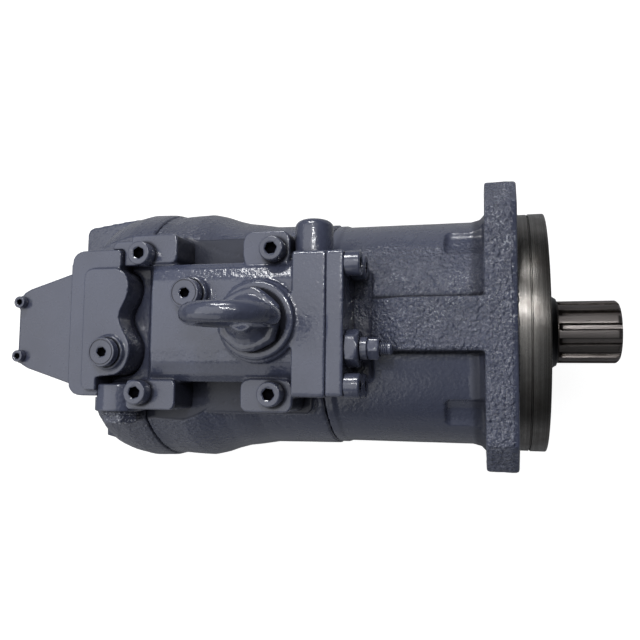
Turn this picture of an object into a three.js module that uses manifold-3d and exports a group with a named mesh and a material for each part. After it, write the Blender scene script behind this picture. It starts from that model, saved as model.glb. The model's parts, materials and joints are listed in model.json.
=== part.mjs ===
// A variable axial piston pump: a round two-piece casing with a square mounting flange and a
// splined drive shaft, a port cover at the back, and a displacement regulator on top.
//
// Units are millimetres. +X points out of the drive end, along the shaft, and +Z is up.
// Every X below is measured from the flange's mounting face; the whole pump is then shifted
// so that the origin is the centre of the shaft's end face.

import * as THREE from 'three';
import { mergeVertices } from 'three/addons/utils/BufferGeometryUtils.js';
import Module from 'manifold-3d';

const wasm = await Module();
wasm.setup();

// ---------------------------------------------------------------- driving dimensions

const GAP = 0.3; // clearance left between pieces that fit into each other
const SCREW_GAP = 0.8; // clearance around the shank of a screw or plug
const FAR = 130; // beyond the casings in every direction, for cuts that run right through

// Casings, all around the shaft's axis
const FLANGE = { thickness: 20, halfWidth: 92.25, cornerCut: 17.5, boltCircle: 100, boltHole: 9 };
const PILOT = { radius: 85, coverStart: 8, face: 19.8 };
const HUB_FRONT = 28.3; // end of the seal cover's flared hub, just behind the spline
const FRONT_CASING = { radius: 81, bore: 64, back: -127, chamberFront: -62 };
const REAR_CASING = { radius: 83, bore: 64, back: -257 };
const END_COVER = { back: -320, upperBack: -297, stepLevel: 15, radius: 96.5, spigotFront: -252.3 };
const PORT_FACE = -100; // height of the flat face that holds both ports
const SUCTION = { x: -290, y: -26, radius: 20, boltOffset: 21.5 };
const DELIVERY = { x: -290, y: 48, radius: 12.5 };
const TOP_FLAT = 70; // height of the machined face that carries the regulator
const RIB = { back: -93, crestStart: -72, halfWidth: 17, top: 92 };

// Drive shaft
const SHAFT = { tip: 70.5, radius: 22.2, splineStart: 29, teeth: 13, rootRadius: 19.4, firstGroove: -6 };
const JOURNAL = { radius: 27.5, front: 4, back: -52 };
const SHAFT_MIDDLE_RADIUS = 21;
const SHAFT_BLOCK_RADIUS = 20;
const SEAL_BORE = SHAFT.radius + 0.4; // clears the shaft, in the seal and its cover
const REAR_JOURNAL = { radius: 17.5, front: -252, back: -283 };
const FRONT_BEARING = { front: -20, back: -50, outer: 45, outerInside: 38, innerOutside: 34 };
const REAR_BEARING = { outer: 26, front: -256, back: -282 };

// Rotating group and swash plate
const TILT_AXIS_X = -145; // the swash plate turns about a line across the shaft at this X
const CRADLE_RADIUS = 52;
const SWASH_RADIUS = 60;
const CRADLE_TRIM = 56; // the cradle's reach from the shaft's axis, so that it clears the bore when tilted
const PISTON_COUNT = 7;
const PISTON_CIRCLE = 47;
const PISTON = { radius: 10, ballX: TILT_AXIS_X - 35, ballRadius: 7, back: -240 };
const SHOE = { padRadius: 13, padThickness: 5, neckRadius: 8.6, length: 14 };
const RETAINER = { front: TILT_AXIS_X - 8.5, back: TILT_AXIS_X - 12.5, radius: 58 };
const BUSH_SPHERE_RADIUS = 34;
const BLOCK = { radius: 61, front: TILT_AXIS_X - 46, back: -247 };
const VALVE_PLATE = { radius: 60, front: -247.3, back: -252 };

// Regulator, heights above the shaft's axis
const EAR_TOP = 100;
const SHELF_TOP = 92; // lower ledges behind the two rear ears
const BODY = { left: -250, slopeTop: -237, right: -138, low: -38, high: 41, crown: 106, edge: 97 };
const PILOT_BORE_END = -232;
const END_BLOCK = { left: -138, right: -116, low: -47, high: 45.5, top: 110 };
const END_PLATE = { right: -105, bottom: 72.5 };
const PLATE_POCKET = { right: -92, halfWidth: 54, floor: 72 };
const TRENCH_FLOOR = 80;
const REGULATOR_SCREW_X = [-245.2, -152.4];
const REGULATOR_SCREW_Y = [-45.5, 47.7];
const PORT_PLUG = { x: -206.6, y: 18.8, boss: 11.8, bossTop: 112 };
const EYE = { x: -160.5, y: 1.2, seatRadius: 25, seatTop: 114, offset: -3 };
const SERVO = { y: 8, z: 86, radius: 12, front: -110, back: -170, pinX: TILT_AXIS_X + 10, pinRadius: 5 };
const PIN_BALL = { z: 54, radius: 6 };
const TILT_ARM = { width: 16, top: 56 };
const SERVO_TRAVEL = 15.2;
const SPOOL = { y: -16, z: 95, radius: 5.5, front: -152, back: -214 };
const ADJUSTER = {
  y: -16, z: 95, hexAcross: 24, hexEnd: -96.5, nutStart: -91.5, nutEnd: -84, tip: -76, thread: 4,
};
const SIDE_CAP = { x: -129, z: 88, radius: 12.7, end: 69 };
const PILOT_COVER = { left: -304, lowWaist: -280, highWaist: -266, low: -48.5, high: 53, top: 100 };
const COVER_GAP = 0.7; // between the pilot cover and the regulator casing beside it
const PILOT_PLUG = { x: -270.4, y: -18.8, boss: 11.8, bossTop: 103 };
const REAR_CAP = { left: -361, right: -306, bottom: 60, top: 75, endHalf: 27, rootHalf: 44 };
const CAP_SCREW = { x: -358.2, high: 19.6, low: -20.6, radius: 2.5, head: 4.3, headHeight: 5, lug: 5.6 };
const SIDE_PLUG = { x: -269.5, z: 83.5, hexAcross: 22, boss: 17, bossEnd: -59, end: -67.6 };
const M10 = { radius: 5, head: 8, headHeight: 10 };
const ROUND_PLUG = { radius: 9.8, stem: 7, stemLength: 12 };
const CASING_BOLT = { offset: 52.3, radius: 5, seat: -285, tip: -112 };

// Paint and metal, shared by name
const PAINT = { color: 0x4d545c, roughness: 0.35, metalness: 0.15 };
const DARK_PAINT = { color: 0x42484f, roughness: 0.4, metalness: 0.2 };
const STEEL = { color: 0x9b968e, roughness: 0.35, metalness: 0.9 };
const BARE_STEEL = { color: 0x8f8a82, roughness: 0.3, metalness: 0.9 };
const IRON = { color: 0x6e6c68, roughness: 0.5, metalness: 0.7 };
const BRONZE = { color: 0xa9834a, roughness: 0.4, metalness: 0.8 };
const RUBBER = { color: 0x1d1d1d, roughness: 0.8, metalness: 0 };

// ---------------------------------------------------------------- solids from three.js shapes

function solid(geometry) {
  const bare = geometry.clone();
  bare.deleteAttribute('normal');
  bare.deleteAttribute('uv');
  const merged = mergeVertices(bare, 1e-4);
  const points = merged.attributes.position.array;
  const corners = merged.index.array;
  const kept = [];
  let volume = 0;
  for (let i = 0; i < corners.length; i += 3) {
    const [a, b, c] = [corners[i], corners[i + 1], corners[i + 2]];
    if (a === b || b === c || c === a) continue;
    kept.push(a, b, c);
    const va = new THREE.Vector3().fromArray(points, 3 * a);
    const vb = new THREE.Vector3().fromArray(points, 3 * b);
    const vc = new THREE.Vector3().fromArray(points, 3 * c);
    volume += va.dot(vb.cross(vc));
  }
  if (volume < 0) kept.reverse();
  return new wasm.Manifold(new wasm.Mesh({
    numProp: 3,
    vertProperties: new Float32Array(points),
    triVerts: new Uint32Array(kept),
  }));
}

function joined(first, ...others) {
  return others.reduce((whole, other) => whole.add(other), first);
}

function cut(first, ...others) {
  return others.reduce((whole, other) => whole.subtract(other), first);
}

function box(x0, x1, y0, y1, z0, z1) {
  const geometry = new THREE.BoxGeometry(x1 - x0, y1 - y0, z1 - z0);
  return solid(geometry.translate((x0 + x1) / 2, (y0 + y1) / 2, (z0 + z1) / 2));
}

// A cylinder along one axis: 'x', 'y' or 'z'. The two centre coordinates are the other axes'.
function drum(axis, radius, from, to, [u, v] = [0, 0], sides = 20, endRadius = radius) {
  const low = Math.min(from, to);
  const geometry = new THREE.CylinderGeometry(endRadius, radius, Math.abs(to - from), sides);
  geometry.translate(0, low + Math.abs(to - from) / 2, 0);
  if (axis === 'x') geometry.rotateZ(-Math.PI / 2).translate(0, u, v);
  if (axis === 'y') geometry.translate(u, 0, v);
  if (axis === 'z') geometry.rotateX(Math.PI / 2).translate(u, v, 0);
  return solid(geometry);
}

// A cylinder whose flats, not its corners, lie at the radius, for holes that clear round pieces.
function bore(axis, radius, from, to, centre = [0, 0], sides = 20) {
  return drum(axis, radius / Math.cos(Math.PI / sides), from, to, centre, sides);
}

function hexBar(axis, across, from, to, centre) {
  return drum(axis, across / Math.sqrt(3), from, to, centre, 6);
}

function ball(radius, x, y, z, sides = 16) {
  return solid(new THREE.SphereGeometry(radius, sides, sides / 2).translate(x, y, z));
}

// A turned piece around the X axis, from [x, radius] pairs that close on themselves or on the axis.
function turned(pairs, sides = 32) {
  const points = pairs.map(([x, radius]) => new THREE.Vector2(radius, x));
  return solid(new THREE.LatheGeometry(points, sides).rotateZ(-Math.PI / 2));
}

function ring(x0, x1, inner, outer, sides = 24) {
  return turned([[x0, inner], [x0, outer], [x1, outer], [x1, inner], [x0, inner]], sides);
}

// A flat outline in plan (x, y), raised from z0 to z1.
function raised(shape, z0, z1, curveSegments = 3) {
  const geometry = new THREE.ExtrudeGeometry(shape, { depth: z1 - z0, bevelEnabled: false, curveSegments });
  return solid(geometry.translate(0, 0, z0));
}

// A flat outline seen along the shaft (y, z), carried from x0 to x1.
function carried(shape, x0, x1, curveSegments = 3) {
  const geometry = new THREE.ExtrudeGeometry(shape, { depth: x1 - x0, bevelEnabled: false, curveSegments });
  const turn = new THREE.Matrix4().makeBasis(
    new THREE.Vector3(0, 1, 0), new THREE.Vector3(0, 0, 1), new THREE.Vector3(1, 0, 0));
  return solid(geometry.applyMatrix4(turn).translate(x0, 0, 0));
}

// A flat outline seen from the side (x, z), carried from y0 to y1.
function sideways(shape, y0, y1, curveSegments = 3) {
  const geometry = new THREE.ExtrudeGeometry(shape, { depth: y1 - y0, bevelEnabled: false, curveSegments });
  return solid(geometry.rotateX(Math.PI / 2).translate(0, y1, 0));
}

function outline(pairs) {
  return new THREE.Shape(pairs.map(([u, v]) => new THREE.Vector2(u, v)));
}

// A closed outline through the corners, each one rounded to the radius.
function rounded(pairs, radius) {
  const shape = new THREE.Shape();
  const corners = pairs.map(([u, v]) => new THREE.Vector2(u, v));
  corners.forEach((corner, i) => {
    const before = corners[(i + corners.length - 1) % corners.length];
    const after = corners[(i + 1) % corners.length];
    const reach = Math.min(radius, corner.distanceTo(before) / 2.05, corner.distanceTo(after) / 2.05);
    const start = corner.clone().add(before.clone().sub(corner).setLength(reach));
    const end = corner.clone().add(after.clone().sub(corner).setLength(reach));
    if (i === 0) shape.moveTo(start.x, start.y);
    else shape.lineTo(start.x, start.y);
    shape.quadraticCurveTo(corner.x, corner.y, end.x, end.y);
  });
  shape.closePath();
  return shape;
}

function roundedBox(u0, u1, v0, v1, radius) {
  return rounded([[u0, v0], [u1, v0], [u1, v1], [u0, v1]], radius);
}

const pump = new THREE.Group();

function place(name, shape, look, [x, y, z] = [0, 0, 0], parent = pump) {
  const { vertProperties, triVerts } = shape.getMesh();
  const geometry = new THREE.BufferGeometry();
  geometry.setAttribute('position', new THREE.BufferAttribute(new Float32Array(vertProperties), 3));
  geometry.setIndex(new THREE.BufferAttribute(new Uint32Array(triVerts), 1));
  geometry.computeVertexNormals();
  const mesh = new THREE.Mesh(geometry, new THREE.MeshStandardMaterial(look));
  mesh.name = name;
  mesh.position.set(x, y, z);
  parent.add(mesh);
  return mesh;
}

function boltCorners(offset) {
  return [[offset, offset], [-offset, offset], [-offset, -offset], [offset, -offset]];
}

// ---------------------------------------------------------------- casings

function frontCasing() {
  const w = FLANGE.halfWidth;
  const c = w - FLANGE.cornerCut;
  const square = outline([[-w, -c], [-c, -w], [c, -w], [w, -c], [w, c], [c, w], [-c, w], [-w, c]]);
  const { radius, bore, back, chamberFront } = FRONT_CASING;
  const rib = sideways(rounded([
    [RIB.back, 70], [-FLANGE.thickness + 1, 70], [-FLANGE.thickness + 1, RIB.top], [RIB.crestStart, RIB.top],
    [RIB.back, RIB.top - 12],
  ], 6), -RIB.halfWidth, RIB.halfWidth);
  const barrel = turned([
    [back, 0], [back, radius + 1], [back + 6, radius + 1], [back + 8, radius],
    [-30, radius], [-24, radius + 1.5], [-FLANGE.thickness + 1, radius + 6], [-FLANGE.thickness + 1, 0],
  ], 40);
  const body = joined(
    carried(square, -FLANGE.thickness, 0),
    drum('x', PILOT.radius, -5, PILOT.coverStart, [0, 0], 40),
    barrel,
    rib,
  );
  const boltPlaces = boltCorners(FLANGE.boltCircle / Math.SQRT2);
  const boltHoles = boltPlaces.map((at) => drum('x', FLANGE.boltHole, -FLANGE.thickness - 1, 1, at, 14));
  const scallops = boltPlaces.map((at) => drum('x', 24, -46, -FLANGE.thickness, at, 16));
  const threads = boltCorners(CASING_BOLT.offset)
    .map((at) => drum('x', CASING_BOLT.radius + SCREW_GAP, back - 1, CASING_BOLT.tip + 2, at, 8));
  const { right, halfWidth, floor } = PLATE_POCKET;
  return cut(
    body,
    turned([[back - 1, 0], [back - 1, bore], [chamberFront, bore], [chamberFront, 31], [-50, 31], [-50, 45],
      [PILOT.coverStart + 1, 45], [PILOT.coverStart + 1, 0]]),
    box(back - 1, right, -halfWidth, halfWidth, floor, FAR),
    ...boltHoles,
    ...scallops,
    ...threads,
  );
}

function sealCover() {
  return turned([
    [2, 38], [2, 44.7], [PILOT.coverStart, 44.7], [PILOT.coverStart, 84], [9, PILOT.radius],
    [PILOT.face - 1, PILOT.radius], [PILOT.face, 84], [PILOT.face, 40], [21.4, 33], [23.8, 28], [26, 25.2],
    [HUB_FRONT, 24], [HUB_FRONT, SEAL_BORE], [16, SEAL_BORE], [16, 36], [4, 36], [4, 38], [2, 38],
  ], 32);
}

function shaftSeal() {
  return turned([
    [5, SEAL_BORE], [5, 35.7], [15.5, 35.7], [15.5, 33], [8, 33], [8, 26], [12, 24.5], [12, SEAL_BORE],
    [5, SEAL_BORE],
  ], 20);
}

// The rear casing swells out towards the port cover.
function rearCasing() {
  const { radius, bore, back } = REAR_CASING;
  const start = FRONT_CASING.back;
  const shell = turned([
    [start, 0], [start, radius], [-176, 83.7], [-190, 86], [-200, 87.3], [-210, 90], [-219, 93.2],
    [-228, 95.3], [-244, 94.8], [-251, 94.3], [back, 95.2], [back, 0],
  ], 40);
  const pad = joined(shell, raised(roundedBox(-262, -133, -60, 63, 8), 30, TOP_FLAT));
  const trimmed = cut(
    pad,
    box(back - 20, start + 1, -FAR, FAR, TOP_FLAT, FAR),
    box(back - 20, back, -FAR, FAR, -FAR, FAR),
  );
  const bolts = boltCorners(CASING_BOLT.offset)
    .map((at) => drum('x', CASING_BOLT.radius + SCREW_GAP, back - 1, start + 1, at, 8));
  return cut(
    trimmed,
    drum('x', bore, back - 1, start + 1, [0, 0], 32),
    pinSlot(TOP_FLAT - 24, TOP_FLAT + 1),
    ...regulatorScrewHoles(TOP_FLAT - 12, TOP_FLAT + 1),
    ...bolts,
  );
}

// The slot that the tilting pin travels in.
function pinSlot(z0, z1) {
  const r = SERVO.pinRadius + 1;
  const farEnd = SERVO.pinX - SERVO_TRAVEL;
  return raised(roundedBox(farEnd - r, SERVO.pinX + r, SERVO.y - r, SERVO.y + r, r), z0, z1);
}

function regulatorScrewHoles(z0, z1) {
  return regulatorScrews().map((at) => drum('z', M10.radius + SCREW_GAP, z0, z1, at, 8));
}

function regulatorScrews() {
  return REGULATOR_SCREW_X.flatMap((x) => REGULATOR_SCREW_Y.map((y) => [x, y]));
}

function endCover() {
  const { back, upperBack, stepLevel, radius, spigotFront } = END_COVER;
  const seam = REAR_CASING.back;
  const round = turned([
    [back, 0], [back, 83], [-312, 85], [-300, 90], [-288, 94.5], [-275, 97], [seam - 4, radius],
    [seam, radius - 1], [seam, 0],
  ], 40);
  const foot = raised(roundedBox(-318, -262, -62, 78, 8), PORT_FACE, -20);
  const shoulderPlan = rounded([[-341, 40], [-275, 40], [-275, 93], [-300, 92.5], [-341, 87]], 5);
  const shoulder = raised(shoulderPlan, -45, 20);
  const tailFloor = -4;
  const tailTop = REAR_CAP.bottom;
  const tail = joined(
    raised(capOutline(REAR_CAP.left, upperBack), tailFloor, tailTop),
    capLugs(tailFloor, tailTop),
  );
  const aboveStep = box(back - 2, upperBack, -FAR, FAR, stepLevel, FAR);
  const core = cut(
    joined(cut(joined(round, foot), aboveStep), shoulder, tail),
    box(REAR_CAP.left - 10, seam + 1, -FAR, FAR, TOP_FLAT, FAR),
    box(REAR_CAP.left - 10, REAR_CAP.right + GAP, -FAR, FAR, tailTop, FAR),
  );
  const boltHoles = boltCorners(CASING_BOLT.offset).flatMap((at) => [
    drum('x', CASING_BOLT.radius + SCREW_GAP, CASING_BOLT.seat - 1, seam + 1, at, 8),
    drum('x', 9, back - 2, CASING_BOLT.seat, at, 14),
  ]);
  const capHoles = rearCapScrews()
    .map((at) => drum('z', CAP_SCREW.radius + SCREW_GAP, tailTop - 20, tailTop + 1, at, 8));
  return cut(
    joined(core, drum('x', REAR_CASING.bore - 1, seam - 1, spigotFront, [0, 0], 32)),
    bore('x', REAR_BEARING.outer + GAP, REAR_BEARING.back - 3, spigotFront + 1),
    ...portPassages(spigotFront),
    ...boltHoles,
    ...capHoles,
  );
}

// Suction on one side and delivery on the other, both turned down to the ports' face.
function portPassages(front) {
  const suctionThreads = boltCorners(SUCTION.boltOffset).map(([dx, dy]) => [SUCTION.x + dx, SUCTION.y + dy]);
  const deliveryThreads = [[-20, -11], [20, -11], [-20, 11], [20, 11]]
    .map(([dx, dy]) => [DELIVERY.x + dx, DELIVERY.y + dy]);
  return [
    drum('x', 11, SUCTION.x - 5, front + 1, [-44, -6], 10),
    drum('z', SUCTION.radius, PORT_FACE - 1, 4, [SUCTION.x, SUCTION.y], 20),
    drum('x', 10, DELIVERY.x - 5, front + 1, [46, -6], 10),
    drum('z', DELIVERY.radius, PORT_FACE - 1, 0, [DELIVERY.x, DELIVERY.y], 14),
    ...[...suctionThreads, ...deliveryThreads]
      .map((at) => drum('z', 4, PORT_FACE - 1, PORT_FACE + 18, at, 8)),
  ];
}

// The wedge-shaped tail, narrower at its free end.
function capOutline(left, right) {
  const slope = (REAR_CAP.rootHalf - REAR_CAP.endHalf) / (REAR_CAP.right - REAR_CAP.left);
  const halfAt = (x) => REAR_CAP.endHalf + slope * (x - REAR_CAP.left);
  return rounded([
    [left, -halfAt(left)], [right, -halfAt(right)], [right, halfAt(right)], [left, halfAt(left)],
  ], 9);
}

function rearCapScrews() {
  return [[CAP_SCREW.x, CAP_SCREW.high], [CAP_SCREW.x, CAP_SCREW.low]];
}

// Round lugs at the tail's free corners, which carry the cap's two screws.
function capLugs(z0, z1) {
  return joined(...rearCapScrews().map((at) => drum('z', CAP_SCREW.lug, z0, z1, at, 20)));
}

function rearCap() {
  const { left, right, bottom, top } = REAR_CAP;
  const plate = joined(raised(capOutline(left, right), bottom, top), capLugs(bottom, top));
  const holes = rearCapScrews()
    .map((at) => drum('z', CAP_SCREW.radius + SCREW_GAP, bottom - 1, top + 1, at, 12));
  return cut(plate, ...holes);
}

// ---------------------------------------------------------------- fasteners

// A socket head cap screw that points down: the head's underside is at the origin.
function capScrew(radius, headRadius, headHeight, length) {
  const key = radius * 0.95;
  const body = joined(
    drum('z', headRadius, 0, headHeight, [0, 0], 16),
    drum('z', radius, -length, 0.5, [0, 0], 6),
  );
  return cut(body, hexBar('z', key * 1.75, headHeight * 0.45, headHeight + 1));
}

// A screw drawn pointing down is laid along the shaft: its head towards +X, or towards -X.
function headForward(screw) {
  return screw.rotate([0, 90, 0]);
}

function headBackward(screw) {
  return screw.rotate([0, -90, 0]);
}

function casingBolt() {
  const length = CASING_BOLT.tip - CASING_BOLT.seat;
  return headBackward(capScrew(CASING_BOLT.radius, M10.head, M10.headHeight, length));
}

// A flush plug with a round collar and a hexagon socket, pointing down.
function roundPlug(headHeight) {
  const { radius, stem, stemLength } = ROUND_PLUG;
  const chamfer = 1.2;
  const body = joined(
    drum('z', radius, 0, headHeight - chamfer, [0, 0], 20),
    drum('z', radius, headHeight - chamfer, headHeight, [0, 0], 20, radius - chamfer),
    drum('z', stem, -stemLength, 0.5, [0, 0], 8),
  );
  return cut(body, hexBar('z', 6.4, headHeight - 6, headHeight + 1));
}

// ---------------------------------------------------------------- drive shaft and bearings

function driveShaft() {
  const { tip, radius, splineStart, teeth, rootRadius, firstGroove } = SHAFT;
  const chamfer = 2.6;
  const collar = 30;
  const keyedFront = BLOCK.front + 4;
  const bar = turned([
    [tip, 0],
    [tip, radius - chamfer],
    [tip - chamfer, radius],
    [JOURNAL.front, radius],
    [JOURNAL.front, JOURNAL.radius],
    [JOURNAL.back, JOURNAL.radius],
    [JOURNAL.back, collar],
    [JOURNAL.back - 6, collar],
    [JOURNAL.back - 6, SHAFT_MIDDLE_RADIUS],
    [keyedFront, SHAFT_MIDDLE_RADIUS],
    [keyedFront, SHAFT_BLOCK_RADIUS],
    [REAR_JOURNAL.front, SHAFT_BLOCK_RADIUS],
    [REAR_JOURNAL.front, REAR_JOURNAL.radius],
    [REAR_JOURNAL.back, REAR_JOURNAL.radius],
    [REAR_JOURNAL.back, 0],
  ], 26);
  const groove = outline([[-1.7, rootRadius], [1.7, rootRadius], [2.9, radius + 1], [-2.9, radius + 1]]);
  const cuts = [];
  for (let i = 0; i < teeth; i += 1) {
    cuts.push(carried(groove, splineStart, tip + 1).rotate([firstGroove + (360 * i) / teeth, 0, 0]));
  }
  return cut(bar, ...cuts);
}

function frontBearingOuter() {
  const { front, back, outer, outerInside } = FRONT_BEARING;
  return ring(back, front, outerInside + 1, outer - GAP);
}

function frontBearingInner() {
  const { front, back, innerOutside, outerInside } = FRONT_BEARING;
  const r = innerOutside;
  return turned([
    [back, JOURNAL.radius + 0.8], [back, r], [back + 4, r], [back + 4, outerInside - GAP],
    [front - 4, outerInside - GAP], [front - 4, r], [front, r], [front, JOURNAL.radius + 0.8],
    [back, JOURNAL.radius + 0.8],
  ], 20);
}

function rearBearing() {
  return ring(REAR_BEARING.back, REAR_BEARING.front, REAR_JOURNAL.radius + 0.6, REAR_BEARING.outer, 20);
}

// ---------------------------------------------------------------- swash plate and rotating group

function swashSupport() {
  const body = drum('x', FRONT_CASING.bore - 1, -103, FRONT_CASING.chamberFront, [0, 0], 32);
  return cut(
    body,
    bore('y', CRADLE_RADIUS + GAP, -80, 80, [TILT_AXIS_X, 0], 48),
    drum('x', 31, -105, -50),
  );
}

function swashPlate() {
  const cradle = drum('y', CRADLE_RADIUS - GAP, -44, 44, [TILT_AXIS_X, 0], 48)
    .intersect(drum('x', CRADLE_TRIM, TILT_AXIS_X, TILT_AXIS_X + 60, [0, 0], 28));
  const disc = drum('x', SWASH_RADIUS, TILT_AXIS_X, TILT_AXIS_X + 11, [0, 0], 28);
  const [armLow, armHigh] = [SERVO.y - TILT_ARM.width / 2, SERVO.y + TILT_ARM.width / 2];
  const arm = box(TILT_AXIS_X + 1, SERVO.pinX + 10, armLow, armHigh, 38, TILT_ARM.top);
  const slotWidth = 2 * (PIN_BALL.radius + 0.8);
  return cut(
    joined(cradle, disc, arm),
    carried(roundedBox(-24, 24, -39, 39, 20), TILT_AXIS_X - 12, TILT_AXIS_X + 60),
    box(SERVO.pinX - slotWidth / 2, SERVO.pinX + slotWidth / 2, armLow - 1, armHigh + 1, 46, 70),
  );
}

function aroundShaft(i) {
  const angle = (2 * Math.PI * i) / PISTON_COUNT;
  return [PISTON_CIRCLE * Math.cos(angle), PISTON_CIRCLE * Math.sin(angle)];
}

function everyPiston(make) {
  return Array.from({ length: PISTON_COUNT }, (_, i) => make(aroundShaft(i)));
}

// Drawn on the shaft's axis with its sliding face at x = 0, then placed on the piston circle.
function shoe() {
  const { padRadius, padThickness, neckRadius, length } = SHOE;
  return turned([
    [0, 0], [0, padRadius], [-padThickness, padRadius], [-padThickness - 1, neckRadius],
    [-length, neckRadius - 1], [-length, 6], [-length + 5, 4.5], [-length + 5, 0],
  ], 10);
}

function retainerPlate() {
  const { front, back, radius } = RETAINER;
  const seat = BUSH_SPHERE_RADIUS + 1;
  return cut(
    drum('x', radius, back, front, [0, 0], 28),
    ball(seat, TILT_AXIS_X, 0, 0, 20),
    ...everyPiston((at) => drum('x', SHOE.neckRadius + 0.6, back - 1, front + 1, at, 10)),
  );
}

function sphericalBush() {
  const front = TILT_AXIS_X - 10;
  const back = TILT_AXIS_X - 22;
  const body = cut(
    ball(BUSH_SPHERE_RADIUS, TILT_AXIS_X, 0, 0, 20),
    box(front, -90, -40, 40, -40, 40),
    box(-190, back, -40, 40, -40, 40),
  );
  const sleeve = ring(back - 14, back + 1, SHAFT_MIDDLE_RADIUS + GAP, 25.5, 20);
  return cut(joined(body, sleeve), bore('x', SHAFT_MIDDLE_RADIUS + GAP, -190, -140));
}

// Drawn on the shaft's axis; only its place around the circle changes.
function piston() {
  const { radius, ballX, ballRadius, back } = PISTON;
  const rod = turned([
    [ballX, 0], [ballX, 4.6], [ballX - 8, 4.6], [ballX - 10, radius], [back, radius], [back, 6],
    [back + 34, 6], [back + 34, 0],
  ], 10);
  return joined(rod, ball(ballRadius, ballX, 0, 0, 8));
}

function cylinderBlock() {
  const { radius, front, back } = BLOCK;
  return cut(
    drum('x', radius, back, front, [0, 0], 32),
    bore('x', SHAFT_BLOCK_RADIUS + GAP, back - 1, front + 1),
    drum('x', 28, front - 31, front + 1),
    ...everyPiston((at) => bore('x', PISTON.radius + GAP, back + 7, front + 1, at, 10)),
    ...everyPiston((at) => drum('x', 6, back - 1, back + 8, at, 6)),
  );
}

class Helix extends THREE.Curve {
  constructor(radius, turns, start, end) {
    super();
    Object.assign(this, { radius, turns, start, end });
  }

  getPoint(t) {
    const angle = 2 * Math.PI * this.turns * t;
    const x = this.start + (this.end - this.start) * t;
    return new THREE.Vector3(x, this.radius * Math.cos(angle), this.radius * Math.sin(angle));
  }
}

function coil(radius, wire, turns, start, end) {
  const section = new THREE.Shape().absarc(0, 0, wire, 0, 2 * Math.PI);
  const path = new Helix(radius, turns, start, end);
  const settings = { steps: turns * 12, extrudePath: path, curveSegments: 2 };
  return solid(new THREE.ExtrudeGeometry(section, settings));
}

function valvePlate() {
  const { radius, front, back } = VALVE_PLATE;
  const kidney = (middle) => {
    const shape = new THREE.Shape();
    const half = 1.15;
    shape.absarc(0, 0, PISTON_CIRCLE + 5, middle - half, middle + half, false);
    shape.absarc(0, 0, PISTON_CIRCLE - 5, middle + half, middle - half, true);
    shape.closePath();
    return carried(shape, back - 1, front + 1, 5);
  };
  return cut(
    drum('x', radius, back, front, [0, 0], 28),
    drum('x', REAR_BEARING.outer, back - 1, front + 1, [0, 0], 28),
    kidney(0),
    kidney(Math.PI),
  );
}

// ---------------------------------------------------------------- regulator

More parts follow.
